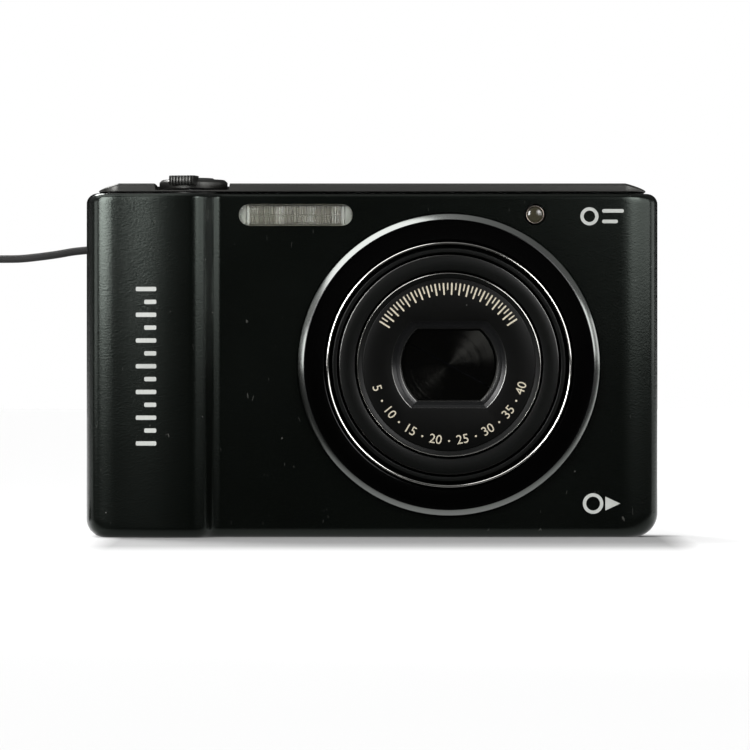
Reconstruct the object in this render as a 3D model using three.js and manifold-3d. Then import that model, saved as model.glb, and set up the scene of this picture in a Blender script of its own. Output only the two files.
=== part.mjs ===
// Compact digital camera with a retracting zoom lens, about 95 x 60 x 20 mm.
// Millimetres, +Z up, the lens looks along -Y, and +X is on the right as seen from the front.
// The origin is on the ground under the middle of the camera.
import * as THREE from 'three';
import { mergeVertices } from 'three/addons/utils/BufferGeometryUtils.js';
import Module from 'manifold-3d';

const wasm = await Module();
wasm.setup();

// Driving dimensions

const gap = 0.3;        // between pieces that touch or seat
const overrun = 1;      // how far a cut passes the face it leaves by

const body = {
  width: 95,
  shellHeight: 57,      // front and rear shells
  faceDepth: 7,         // origin plane to the main front face
  backDepth: 9.6,       // origin plane to the back face
  splitY: -1.5,         // joint between the front and rear shells
  wall: 1.2,
  bottomLeftRadius: 3,
  bottomRightRadius: 4,
  topRadius: 1.7,
  bottomEdgeRadius: 1.5,
  topEdgeRadius: 0.8,
  backEdgeRadius: 3,
  cornerFade: 12,       // how far in from each side a corner's pull reaches
};

const side = body.width / 2;
const middleZ = body.shellHeight / 2;
const rim = body.shellHeight;
const innerFace = body.faceDepth - body.wall;
const innerBack = body.backDepth - body.wall;
const innerSide = side - body.wall;

// Places follow the shells and the lens. In from the left side wall and from the right one:
const leftInset = {
  crest: 17.1, foot: 22.7, troughLeft: 11.4, troughRight: 23.9, shutter: 17.6, power: 34,
  switchBoard: 10.5, capacitor: 4, board: 1.9, latch: 12.7, pad: 17, videoKey: 26.1,
};
const rightInset = { lens: 34.8, screen: 2.9 };
// Above the shells' rim and below it:
const rimRise = {
  topCover: 1.8, troughFloor: 0.6, shutter: 2.8, leverRing: 2.5, leverTab: 3, power: 2.1,
};
const rimDrop = {
  shutterStem: 2, powerStem: 2.7, switchBoard: 3.4, chassis: 1.5, board: 2, holder: 12.2, flash: 3.55,
  lamp: 3.5, videoKey: 6.4, screen: 4.8, pocket: 9, usb: 17, sideScrew: 7,
};
// In from the inside of the back wall:
const backInset = {
  screen: 2.3, chassis: 3.2, bush: 5.2, doorHinge: 2.8, doorEdge: 4.4, pocket: 5.5, usb: 6.3,
  bottomScrew: 5.4, sideScrew: 6.4,
};
// To the right of the lens axis:
const lensOffset = { flash: -25.4, lamp: 14.3, bush: -15.7, middleScrew: 1.3, rightScrew: 19.3 };

const grip = {
  rise: 3.2,            // crest above the main face
  crestX: leftInset.crest - side,
  shoulder: 4.6,        // side wall to the start of the gentle rise
  shoulderDrop: 0.85,   // the shoulder's height under the crest
  sideDepth: 3.4,       // where the side wall starts to round
  footX: leftInset.foot - side,  // where the S curve meets the main face
  sideShares: [0.92, 0.58],
  riseShares: [0.4, 0.62],
  footShares: [0.5, 0.66],
  slopeShare: 0.33,     // of the shoulder's drop, on either side of it
};

const rightEdge = { run: 6.3, sideDepth: 2.8, shares: [0.62, 0.75] };

const top = {
  height: rim + rimRise.topCover,
  inset: 2,             // ends, in from the shells' sides
  ledge: 1.2,           // bearing on the shells all round
  front: 6.3,
  backStep: 0.7,
  endDrop: 1.2,
  endRun: 3.7,
  edgeRadius: 0.7,
  cornerRadius: 3.5,
};

top.back = body.backDepth - top.backStep;

const trough = {
  left: leftInset.troughLeft - side, right: leftInset.troughRight - side,
  floor: rim + rimRise.troughFloor, bevel: 0.9, wall: 1.5, bossDepth: 1.3,
};

const shutter = {
  x: leftInset.shutter - side, y: 0.8, capRadius: 3.5, top: rim + rimRise.shutter,
  capThickness: 1.2, dish: 0.25,
  stemRadius: 2, stemEnd: rim - rimDrop.shutterStem, clipRadius: 2.8, clipThickness: 0.8,
};

const lever = {
  ringRadius: 5.7, ringTop: rim + rimRise.leverRing, ringEdge: 0.5, restAngle: -13.3,
  tabWidth: 4.9, tabReach: 8, tabTop: rim + rimRise.leverTab, tabHeight: 1.6, ribs: 7, ribDepth: 0.35,
};

// Inner frame and battery holder
const chassis = {
  y: innerBack - backInset.chassis, thickness: 0.6, bottom: 3.2, top: rim - rimDrop.chassis,
};
const holder = {
  lensGap: 2.3, left: -innerSide + gap, front: -innerFace + gap, back: chassis.y - gap, bottom: 3.1,
  wall: 0.7, top: rim - rimDrop.holder,
};
const sensor = { width: 16, height: 14, thickness: 0.7 };

// The lens from its trim ring inwards, each ring inside the one before
const lens = { x: side - rightInset.lens, rise: 0.1, margin: 3.55 };
lens.z = middleZ + lens.rise;
const bezel = {
  outer: middleZ - lens.margin, width: 4.25, top: 8.9, flank: 0.75, seat: 0.4, dish: 0.25,
};
bezel.inner = bezel.outer - bezel.width;
const chrome = { width: 0.7, crown: 0.25, top: 9.1, length: 2.6 };
chrome.inner = bezel.inner - gap - chrome.width;
const base = {
  tubeOuter: chrome.inner - gap, tubeWall: 0.9, tubeFront: 8.4, flangeStep: 0.95, flangeFront: 5.5,
  floor: 0.9, lightHole: 5, play: 0.4,
};
base.back = holder.back - sensor.thickness - gap;
base.flange = bezel.outer - base.flangeStep;
base.bore = base.tubeOuter - base.tubeWall;
const barrelOuter = {
  radius: base.bore - gap, wall: 2.7, front: 8.8, back: base.back - base.floor - base.play, lip: 0.5,
};
barrelOuter.inner = barrelOuter.radius - barrelOuter.wall;
const barrelInner = {
  radius: barrelOuter.inner - gap, wall: 0.9, front: 9.5, backStep: 0.2, shelf: -6.8, boreStep: 0.4,
  lip: 0.2,
};
barrelInner.back = barrelOuter.back - barrelInner.backStep;
barrelInner.cavity = barrelInner.radius - barrelInner.wall;
const nameRing = {
  front: 9.3, thickness: 0.9, radius: barrelInner.cavity - gap, openingShare: 0.654, halfShare: 0.754,
};
nameRing.outerOpening = barrelInner.cavity * nameRing.openingShare;
const opening = { radiusShare: 0.5455, halfShare: 0.744 };
opening.radius = barrelInner.cavity * opening.radiusShare;
barrelInner.bore = opening.radius + barrelInner.boreStep;

const leaf = {
  tilt: -28.6,          // parting line, degrees from horizontal
  thickness: 0.35,
  parting: 0.15,        // half of the slit between the leading leaves
  cover: 0.5,           // past the opening's edge when closed
  pivotShare: 0.881,    // pivot pins from the lens axis, of the cavity's radius
  ear: 1.2,
  pin: 0.45,
  clearance: 0.4,       // open leaves to the cavity's wall
  lap: 0.7,             // trailing leaf under the leading one
  openAngle: 40,
  neckShare: 0.18,      // the arm's steps, of the reach
};
leaf.reach = opening.radius + leaf.cover;
leaf.neck = leaf.reach * leaf.neckShare;
leaf.pivot = barrelInner.cavity * leaf.pivotShare;
leaf.sweep = barrelInner.cavity - leaf.clearance;

const glass = {
  frontY: -6.1, frontBack: -3.4, frontBulge: 0.6, rearEdge: 1, rearBulge: 0.4, bulgeShare: 0.75,
};

const flash = {
  x: lens.x + lensOffset.flash, z: rim - rimDrop.flash, width: 19, height: 3.7,
  reflectorDepth: 3.3, reflectorWall: 0.3, tubeRadius: 0.8,
};
const lamp = { x: lens.x + lensOffset.lamp, z: rim - rimDrop.lamp, radius: 1.8, depth: 2 };

holder.right = lens.x - base.flange - holder.lensGap;
const card = { spareWidth: 7, headroom: 12.8, thickness: 2.1, corner: 3.2 };
const battery = { bottom: 4, cornerRadius: 1.2 };
battery.thickness = holder.back - holder.front - 3 * holder.wall - card.thickness - 4 * gap;
const chamber = {
  left: holder.left + holder.wall, right: holder.right - holder.wall, front: holder.front + holder.wall,
};
chamber.batteryBack = chamber.front + battery.thickness + 2 * gap;
chamber.cardFront = chamber.batteryBack + holder.wall;
chamber.cardBack = holder.back - holder.wall;
battery.width = chamber.right - chamber.left - 2 * gap;
battery.height = holder.top - holder.wall - gap - battery.bottom;
card.width = chamber.right - chamber.left - card.spareWidth;
card.height = holder.top - card.headroom;
const capacitor = {
  left: leftInset.capacitor - side, length: 21.5, y: -1.5, radius: 3.3, endGroove: 0.4,
};

const door = {
  right: holder.right - gap, front: 4.9, back: innerBack - backInset.doorEdge, thickness: 1.1, lift: 0.1,
  slide: 2.5, lipHeight: 0.5, lipInset: 0.6, hingeY: innerBack - backInset.doorHinge, hingeZ: 1.3,
  knuckle: 1.2, pin: 0.45,
  knuckleLength: 5, knuckleShares: [0.22, 0.7], bossTop: 2.8,
};
const knucklePlaces = door.knuckleShares.map((share) => -side + share * (door.right + side));

const latch = {
  left: leftInset.latch - side, width: 4.4, front: -7.3, hookReach: 1.1, hookBottom: 2, top: 8,
};

// Keys on the back. The small keys stand in two columns and two rows round the direction pad.
const key = { rise: 0.6, travel: 0.25, flange: 0.7, flangeThickness: 0.7, crown: 0.3 };
key.face = body.backDepth + key.rise;
const pad = { x: leftInset.pad - side, drop: 1, outer: 9, inner: 4.4 };
pad.z = middleZ - pad.drop;
const smallKey = { width: 7.4, height: 3.6, column: 6.8, rowShare: 0.263 };
const smallKeys = {
  menu_button: [-1, 1], function_button: [1, 1], playback_button: [-1, -1], delete_button: [1, -1],
};
const videoKey = { x: leftInset.videoKey - side, z: rim - rimDrop.videoKey, radius: 2.3 };

const lcd = {
  padGap: 7.5, right: side - rightInset.screen, bottom: 6.8, top: rim - rimDrop.screen,
  panelY: innerBack - backInset.screen, panelThickness: 2, cornerRadius: 0.8,
};
lcd.left = pad.x + pad.outer + lcd.padGap;
const board = {
  left: leftInset.board - side, right: lcd.left - 2 * gap, y: lcd.panelY, thickness: 0.8,
  top: rim - rimDrop.board,
};

const power = {
  x: leftInset.power - side, y: 1, width: 7, height: 3, top: rim + rimRise.power,
  stemEnd: rim - rimDrop.powerStem,
};
power.stemRadius = power.height / 3;
const switchBoard = {
  left: leftInset.switchBoard - side, width: 29, front: -1, top: rim - rimDrop.switchBoard, thickness: 0.8,
};

const pocket = {
  z: rim - rimDrop.pocket, y: innerBack - backInset.pocket, width: 2.8, height: 4.8, depth: 2.7,
  wall: 0.7, pin: 0.55,
};
const usb = {
  z: rim - rimDrop.usb, front: innerBack - backInset.usb, back: holder.back, width: 8, length: 6.7,
  wall: 0.35,
  mouthShare: 0.8, tongueShares: [0.2, 0.9],
};
const bush = {
  x: lens.x + lensOffset.bush, y: innerBack - backInset.bush, radius: 4.2, bore: 3.2, height: 5.2,
  boreDepth: 4.6, recess: 0.25,
};
const motor = { radius: 3.3, front: -5.3, clearance: 0.28 };
const screw = { head: 1.4, headThickness: 0.6, shank: 0.8, length: 3.4, recess: 0.2 };
const bottomScrewY = innerBack - backInset.bottomScrew;
const sideScrewY = innerBack - backInset.sideScrew;
const sideScrewHeight = 10;
const screwSpots = {
  screw_bottom_middle: ['Z', lens.x + lensOffset.middleScrew, bottomScrewY, 0],
  screw_bottom_right: ['Z', lens.x + lensOffset.rightScrew, bottomScrewY, 0],
  screw_side_lower: ['X', side, sideScrewY, sideScrewHeight],
  screw_side_upper: ['X', side, sideScrewY, rim - rimDrop.sideScrew],
};

const cord = {
  radius: 0.65, pitch: 1.75, outerTurn: 9.8, turnsPerLayer: 3.25, coilY: 14, tieWall: 0.3,
  tieWidth: 1.6, ferruleRadius: 1.1, ferruleLength: 8,
};
cord.lowLayer = cord.tieWall + gap + cord.radius;

// Chosen places along the wrist cord, from the strap pin down to the ground: out from the left
// side, Y, and the height as a share of the way from the ground layer up to the pin
const cordRoute = [
  [-0.5, 2.9, 0.9979], [2.5, 2.9, 0.9914], [5.5, 2.95, 0.9807], [8.5, 3, 0.9722],
  [11.5, 3.1, 0.9658], [14.5, 3.2, 0.9647], [17.5, 3.3, 0.9636], [20.2, 3.4, 0.9487],
  [22.2, 3.5, 0.9102], [23.4, 3.6, 0.8503], [23.9, 3.7, 0.7647], [24, 3.8, 0.615],
  [24, 4, 0.4439], [24, 4.2, 0.2727], [24, 4.5, 0.1444], [24, 5.4, 0.0631], [24, 7.4, 0.016],
  [24, 9.9, 0.0011], [24, 12.4, 0],
];
// Y and Z of the tail, which leaves the coil's left side
const tailRoute = [[12.4, 3], [10, 2.85], [7.5, 2.4], [5, 1.8], [2.8, 1.35], [1, 1.2]];

const weldDistance = 1e-3;
const curveSteps = 4;
const cornerSteps = 2;
const roundSides = 48;
const leafSides = 32;
const smallSides = 20;
const cordSides = 8;
const coilSides = 6;
const stepsPerTurn = 24;

// Helpers: every piece is made from three.js shapes and passed through a boolean kernel

const group = new THREE.Group();

function solidOf(geometry) {
  const bare = geometry.clone();
  for (const name of Object.keys(bare.attributes)) {
    if (name !== 'position') bare.deleteAttribute(name);
  }
  const merged = mergeVertices(bare, weldDistance);
  const corners = merged.index.array;
  const kept = [];
  for (let i = 0; i < corners.length; i += 3) {
    const [a, b, c] = [corners[i], corners[i + 1], corners[i + 2]];
    if (a !== b && b !== c && c !== a) kept.push(a, b, c);
  }
  const vertProperties = new Float32Array(merged.attributes.position.array);
  if (signedVolume(vertProperties, kept) < 0) kept.reverse();
  const triVerts = new Uint32Array(kept);
  return new wasm.Manifold(new wasm.Mesh({ numProp: 3, vertProperties, triVerts }));
}

function signedVolume(points, corners) {
  const at = (i) => new THREE.Vector3().fromArray(points, 3 * i);
  let sum = 0;
  for (let i = 0; i < corners.length; i += 3) {
    sum += at(corners[i]).dot(at(corners[i + 1]).cross(at(corners[i + 2])));
  }
  return sum;
}

function cut(solid, ...tools) {
  return tools.reduce((left, tool) => left.subtract(tool), solid);
}

function join(solid, ...others) {
  return others.reduce((sum, other) => sum.add(other), solid);
}

function piece(name, solid, finish) {
  const mesh = solid.getMesh();
  const geometry = new THREE.BufferGeometry();
  geometry.setAttribute('position', new THREE.BufferAttribute(mesh.vertProperties, 3));
  geometry.setIndex(new THREE.BufferAttribute(mesh.triVerts, 1));
  geometry.computeVertexNormals();
  const [color, roughness, metalness] = finish;
  const material = new THREE.MeshStandardMaterial({ color, roughness, metalness, flatShading: true });
  const part = new THREE.Mesh(geometry, material);
  part.name = name;
  group.add(part);
}

// A block between two corners
function block(x0, x1, y0, y1, z0, z1) {
  const geometry = new THREE.BoxGeometry(x1 - x0, y1 - y0, z1 - z0);
  geometry.translate((x0 + x1) / 2, (y0 + y1) / 2, (z0 + z1) / 2);
  return solidOf(geometry);
}

const axes = {
  X: [new THREE.Vector3(0, 1, 0), new THREE.Vector3(0, 0, 1), new THREE.Vector3(1, 0, 0)],
  Y: [new THREE.Vector3(1, 0, 0), new THREE.Vector3(0, 0, 1), new THREE.Vector3(0, -1, 0)],
  Z: [new THREE.Vector3(1, 0, 0), new THREE.Vector3(0, 1, 0), new THREE.Vector3(0, 0, 1)],
};

// An outline carried along an axis. It is drawn in (Y, Z) for X, (X, Z) for Y and (X, Y) for Z.
function prism(shape, axis, from, to, steps = cornerSteps) {
  const settings = { depth: to - from, bevelEnabled: false, curveSegments: steps };
  const geometry = new THREE.ExtrudeGeometry(shape, settings);
  geometry.applyMatrix4(new THREE.Matrix4().makeBasis(...axes[axis]));
  const start = axis === 'Y' ? to : from;
  const shift = { X: [start, 0, 0], Y: [0, start, 0], Z: [0, 0, start] }[axis];
  geometry.translate(...shift);
  return solidOf(geometry);
}

// A round bar along an axis, centred at (u, v) in the plane across it
function rod(axis, radius, from, to, u, v, sides = smallSides) {
  return turn([[0, from], [radius, from], [radius, to], [0, to]], axis, u, v, sides);
}

// A profile of [radius, place along the axis] turned about an axis
function turn(profile, axis, u, v, sides = roundSides) {
  const points = profile.map(([radius, along]) => new THREE.Vector2(radius, along));
  const closed = profile[0][0] === 0 ? points : [...points, points[0]];
  const geometry = new THREE.LatheGeometry(closed, sides);
  if (axis === 'Z') geometry.rotateX(Math.PI / 2);
  if (axis === 'X') geometry.rotateZ(-Math.PI / 2);
  const shift = { X: [0, u, v], Y: [u, 0, v], Z: [u, v, 0] }[axis];
  geometry.translate(...shift);
  return solidOf(geometry);
}

// A rectangle with round corners, centred at (u, v)
function plate(u, v, width, height, radius) {
  const r = Math.min(radius, width / 2, height / 2);
  const [w, h] = [width / 2 - r, height / 2 - r];
  const shape = new THREE.Shape();
  shape.absarc(u + w, v - h, r, -Math.PI / 2, 0);
  shape.absarc(u + w, v + h, r, 0, Math.PI / 2);
  shape.absarc(u - w, v + h, r, Math.PI / 2, Math.PI);
  shape.absarc(u - w, v - h, r, Math.PI, 3 * Math.PI / 2);
  shape.closePath();
  return shape;
}

// A circle about the lens axis, cut off flat above and below at a share of its radius
function truncatedCircle(radius, halfShare) {
  const angle = Math.asin(halfShare);
  const shape = new THREE.Shape();
  shape.absarc(lens.x, lens.z, radius, -angle, angle);
  shape.absarc(lens.x, lens.z, radius, Math.PI - angle, Math.PI + angle);
  shape.closePath();
  return shape;
}

// Loops of equal length joined into one closed skin, each loop a list of [x, y, z]
function loft(loops) {
  const count = loops[0].length;
  const corners = [];
  for (let level = 0; level + 1 < loops.length; level += 1) {
    for (let i = 0; i < count; i += 1) {
      const next = (i + 1) % count;
      const [a, b] = [level * count + i, level * count + next];
      corners.push(a, b, b + count, a, b + count, a + count);
    }
  }
  const flat = loops[0].map(([x, y]) => new THREE.Vector2(x, y));
  const last = (loops.length - 1) * count;
  for (const [a, b, c] of THREE.ShapeUtils.triangulateShape(flat, [])) {
    corners.push(c, b, a, last + a, last + b, last + c);
  }
  const geometry = new THREE.BufferGeometry();
  geometry.setAttribute('position', new THREE.Float32BufferAttribute(loops.flat(2), 3));
  geometry.setIndex(corners);
  return solidOf(geometry);
}

// How far a rounded edge has drawn in, at a distance from the face it meets
function roundIn(distance, radius) {
  if (distance >= radius) return 0;
  return radius - Math.sqrt(radius * radius - (radius - distance) ** 2);
}

// An open outline moved sideways to its right by a distance
function offset(points, distance) {
  return points.map((point, i) => {
    const before = points[Math.max(i - 1, 0)];
    const after = points[Math.min(i + 1, points.length - 1)];
    const along = after.clone().sub(before).normalize();
    return new THREE.Vector2(point.x - along.y * distance, point.y + along.x * distance);
  });
}

// The two shells

// Plan of the front shell from the left side wall round the grip to the right side wall
function frontPlan() {
  const crestY = -body.faceDepth - grip.rise;
  const shoulderX = -side + grip.shoulder;
  const shoulderY = crestY + grip.shoulderDrop;
  const riseRun = grip.crestX - shoulderX;
  const footRun = grip.footX - grip.crestX;
  const path = new THREE.Path();
  path.moveTo(-side, -grip.sideDepth);
  path.bezierCurveTo(
    -side, THREE.MathUtils.lerp(-grip.sideDepth, shoulderY, grip.sideShares[0]),
    -side + grip.shoulder * (1 - grip.sideShares[1]), shoulderY + grip.shoulderDrop * grip.slopeShare,
    shoulderX, shoulderY);
  path.bezierCurveTo(
    shoulderX + riseRun * grip.riseShares[0], shoulderY - grip.shoulderDrop * grip.slopeShare,
    shoulderX + riseRun * grip.riseShares[1], crestY, grip.crestX, crestY);
  path.bezierCurveTo(
    grip.crestX + footRun * grip.footShares[0], crestY,
    grip.footX - footRun * grip.footShares[1], -body.faceDepth,
    grip.footX, -body.faceDepth);
  path.lineTo(side - rightEdge.run, -body.faceDepth);
  path.bezierCurveTo(
    side - rightEdge.run * (1 - rightEdge.shares[0]), -body.faceDepth,
    side, THREE.MathUtils.lerp(-rightEdge.sideDepth, -body.faceDepth, rightEdge.shares[1]),
    side, -rightEdge.sideDepth);
  return path.getPoints(curveSteps);
}

// Plan of the rear shell from the right side wall round the back to the left side wall
function backPlan() {
  const r = body.backEdgeRadius;
  const path = new THREE.Path();
  path.absarc(side - r, body.backDepth - r, r, 0, Math.PI / 2);
  path.absarc(-side + r, body.backDepth - r, r, Math.PI / 2, Math.PI);
  return path.getPoints(curveSteps);
}

// A plan raised to full height, drawn in at rounded ends, and closed along one straight line
function raise(plan, inset, openY, bottomZ, topZ) {
  const largest = Math.max(body.bottomLeftRadius, body.bottomRightRadius) - inset;
  const heights = [];
  for (let step = 0; step <= curveSteps; step += 1) {
    heights.push(bottomZ + largest * (1 - Math.cos(step * Math.PI / 2 / curveSteps)));
  }
  const topRound = inset > 0 ? 0 : body.topRadius;
  for (let step = 0; step <= cornerSteps && topRound > 0; step += 1) {
    heights.push(topZ - topRound * (1 - Math.sin(step * Math.PI / 2 / cornerSteps)));
  }
  if (topRound === 0) heights.push(topZ);
  const closing = [plan[0], plan[plan.length - 1]];
  const loops = heights.map((z) => {
    const edge = roundIn(z - bottomZ, Math.max(body.bottomEdgeRadius - inset, 0))
      + (inset > 0 ? 0 : roundIn(topZ - z, body.topEdgeRadius));
    const upper = inset > 0 ? 0 : roundIn(topZ - z, body.topRadius);
    const pull = {
      left: roundIn(z - bottomZ, body.bottomLeftRadius - inset) + upper,
      right: roundIn(z - bottomZ, body.bottomRightRadius - inset) + upper,
    };
    const drawn = offset(plan, inset + edge);
    const ends = [drawn[0], drawn[drawn.length - 1]];
    const outline = [new THREE.Vector2(ends[0].x, openY), ...drawn, new THREE.Vector2(ends[1].x, openY)];
    return outline.map(({ x, y }) => {
      const near = Math.max(0, 1 - (side - Math.abs(x)) / body.cornerFade);
      const shift = (x < 0 ? pull.left - edge : edge - pull.right) * near;
      return [x + shift, y, z];
    });
  });
  return loft(loops);
}

const finishes = {
  shell: [0x111211, 0.4, 0.3],
  rear: [0x161716, 0.55, 0],
  gloss: [0x0a0a0b, 0.15, 0],
  metal: [0xb9bbbd, 0.25, 1],
  darkMetal: [0x303234, 0.4, 1],
  black: [0x151515, 0.5, 0],
  key: [0x2a2b2c, 0.4, 0.2],
  glass: [0x22262c, 0.05, 0],
  clear: [0xd8dcdc, 0.1, 0],
  amber: [0x5a3a22, 0.15, 0],
  green: [0x1d5a36, 0.6, 0],
  battery: [0x3a3d44, 0.5, 0],
  label: [0x2c3f5a, 0.6, 0],
  cord: [0x131313, 0.8, 0],
};

const frontOpen = body.splitY - gap / 2;
const rearOpen = body.splitY + gap / 2;
const frontOuter = raise(frontPlan(), 0, frontOpen, 0, body.shellHeight);
const rearOuter = raise(backPlan(), 0, rearOpen, 0, body.shellHeight);
const frontInner = raise(frontPlan(), body.wall, frontOpen + overrun, body.wall,
  body.shellHeight - body.wall);
const rearInner = raise(backPlan(), body.wall, rearOpen - overrun, body.wall,
  body.shellHeight - body.wall);
const topMouth = block(-side + top.inset + top.ledge, side - top.inset - top.ledge,
  -top.front + top.ledge, top.back - top.ledge, body.shellHeight - body.wall - overrun,
  body.shellHeight + overrun);

// The mouth that the battery door closes, cut through the bottom and the lower left corner
const doorMouth = block(-side - overrun, door.right + gap, -door.front - gap, door.back + gap,
  -overrun, door.lift + door.thickness + gap);

// Slots for the door's knuckles, long enough for its slide
const knuckleSlots = knucklePlaces.map((x) => block(
  x - door.slide - gap, x + door.knuckleLength + gap, door.back, door.hingeY + door.knuckle + gap,
  -overrun, door.bossTop));

const pinBore = rod('X', door.pin + gap, -side + body.wall, door.right, door.hingeY, door.hingeZ);

function screwTool(axis, x, y, z) {
  const clear = gap / 2;
  const depth = screw.headThickness + screw.recess + clear;
  const shank = screw.length + gap;
  const profile = [[0, -overrun], [screw.head + clear, -overrun], [screw.head + clear, depth],
    [screw.shank + clear, depth], [screw.shank + clear, shank], [0, shank]];
  return placeScrew(profile, axis, x, y, z);
}

// A profile that starts at the outer face and goes inwards, up from the bottom or in from the right
function placeScrew(profile, axis, x, y, z) {
  if (axis === 'Z') return turn(profile, 'Z', x, y, smallSides);
  const inwards = profile.map(([radius, depth]) => [radius, x - depth]);
  return turn(inwards, 'X', y, z, smallSides);
}

const screwHoles = Object.values(screwSpots).map((spot) => screwTool(...spot));

function frontCover() {
  const front = -body.faceDepth - grip.rise - overrun;
  const seat = rod('Y', bezel.outer + gap, front, -body.faceDepth + bezel.seat, lens.x, lens.z,
    roundSides);
  const hole = rod('Y', bezel.inner, front, 0, lens.x, lens.z, roundSides);
  const window = prism(plate(flash.x, flash.z, flash.width + gap, flash.height + gap, flash.height),
    'Y', front, 0);
  const lampHole = rod('Y', lamp.radius, front, 0, lamp.x, lamp.z);
  return cut(frontOuter, frontInner, topMouth, seat, hole, window, lampHole, doorMouth);
}

const keySpot = ([column, row]) => [
  pad.x + column * smallKey.column, pad.z + row * smallKey.rowShare * body.shellHeight,
];

function keyHoles() {
  const [front, back] = [innerBack - overrun, body.backDepth + overrun];
  const holes = Object.values(smallKeys).map((place) => prism(
    plate(...keySpot(place), smallKey.width + 2 * gap, smallKey.height + 2 * gap, smallKey.height),
    'Y', front, back));
  holes.push(rod('Y', pad.outer + gap, front, back, pad.x, pad.z, roundSides));
  holes.push(rod('Y', videoKey.radius + gap, front, back, videoKey.x, videoKey.z));
  return holes;
}

// A walled pocket in the left side, where the strap goes round its pin
function strapPocket() {
  const outer = block(-side + body.wall / 2, -side + pocket.depth + pocket.wall,
    pocket.y - pocket.width / 2 - pocket.wall, pocket.y + pocket.width / 2 + pocket.wall,
    pocket.z - pocket.height / 2 - pocket.wall, pocket.z + pocket.height / 2 + pocket.wall);
  const hollow = block(-side - overrun, -side + pocket.depth,
    pocket.y - pocket.width / 2, pocket.y + pocket.width / 2,
    pocket.z - pocket.height / 2, pocket.z + pocket.height / 2);
  return { outer, hollow };
}

const screenMiddle = [(lcd.left + lcd.right) / 2, (lcd.bottom + lcd.top) / 2];
const screenSize = [lcd.right - lcd.left, lcd.top - lcd.bottom];

function rearCover() {
  const screen = prism(plate(...screenMiddle, screenSize[0] + gap, screenSize[1] + gap,
    lcd.cornerRadius), 'Y', innerBack - overrun, body.backDepth + overrun);
  const bushHole = rod('Z', bush.radius + gap / 2, -overrun, body.wall + overrun, bush.x, bush.y,
    roundSides / 2);
  const usbHole = block(innerSide - overrun, side + overrun, usb.front - gap, usb.back + gap,
    usb.z - usb.width / 2 - gap, usb.z + usb.width / 2 + gap);
  const bosses = doorBosses();
  const walls = strapPocket();
  const shell = join(cut(rearOuter, rearInner, topMouth), bosses, walls.outer);
  return cut(shell, screen, bushHole, usbHole, walls.hollow, doorMouth, pinBore, ...knuckleSlots,
    ...keyHoles(), ...screwHoles);
}

// One long boss along the hinge line, which the knuckle slots divide
function doorBosses() {
  return block(-innerSide, door.right - door.lift, door.back + 2 * gap,
    door.hingeY + door.knuckle + gap, body.wall / 2, door.bossTop);
}

piece('front_cover', frontCover(), finishes.shell);
piece('rear_cover', rearCover(), finishes.rear);

// Top cover: a plate with sloping ends, a trough round the zoom lever and a boss under it

function topCover() {
  const half = side - top.inset;
  const low = body.shellHeight + gap;
  const crown = top.height - top.endDrop;
  const outline = new THREE.Shape();
  outline.moveTo(-half, low);
  outline.lineTo(half, low);
  outline.lineTo(half, crown);
  outline.lineTo(half - top.endRun, top.height);
  outline.lineTo(-half + top.endRun, top.height);
  outline.lineTo(-half, crown);
  const depth = top.front + top.back;
  const middle = (top.back - top.front) / 2;
  const tall = top.height - low + top.edgeRadius * 2;
  const section = plate(middle, top.height - tall / 2, depth, tall, top.edgeRadius);
  const plan = plate(0, middle, 2 * half, depth, top.cornerRadius);
  const slab = prism(outline, 'Y', -top.front - overrun, top.back + overrun)
    .intersect(prism(section, 'X', -half, half))
    .intersect(prism(plan, 'Z', low - overrun, top.height + overrun, curveSteps));
  const scoop = new THREE.Shape();
  scoop.moveTo(trough.left, trough.floor);
  scoop.lineTo(trough.right, trough.floor);
  scoop.lineTo(trough.right + trough.bevel, top.height);
  scoop.lineTo(trough.right + trough.bevel, top.height + overrun);
  scoop.lineTo(trough.left - trough.bevel, top.height + overrun);
  scoop.lineTo(trough.left - trough.bevel, top.height);
  const boss = rod('Z', lever.ringRadius, trough.floor - trough.bossDepth, trough.floor - gap / 2,
    shutter.x, shutter.y, roundSides / 2);
  const stemHole = rod('Z', shutter.stemRadius + gap, low - 2 * trough.bossDepth,
    top.height + overrun, shutter.x, shutter.y);
  const powerHole = prism(plate(power.x, power.y, power.width + 2 * gap, power.height + 2 * gap,
    power.height), 'Z', low - overrun, top.height + overrun);
  return cut(join(slab, boss), prism(scoop, 'Y', -top.front - overrun, top.back - trough.wall), stemHole,
    powerHole);
}

function shutterButton() {
  const s = shutter;
  const capBottom = s.top - s.capThickness;
  const clipTop = trough.floor - trough.bossDepth - gap;
  return turn([
    [0, s.stemEnd], [s.stemRadius, s.stemEnd], [s.stemRadius, clipTop - s.clipThickness],
    [s.clipRadius, clipTop - s.clipThickness], [s.clipRadius, clipTop], [s.stemRadius, clipTop],
    [s.stemRadius, capBottom], [s.capRadius, capBottom], [s.capRadius, s.top - s.dish],
    [s.capRadius - s.dish, s.top], [s.capRadius / 2, s.top - s.dish / 2], [0, s.top - s.dish],
  ], 'Z', s.x, s.y, roundSides / 2);
}

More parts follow.
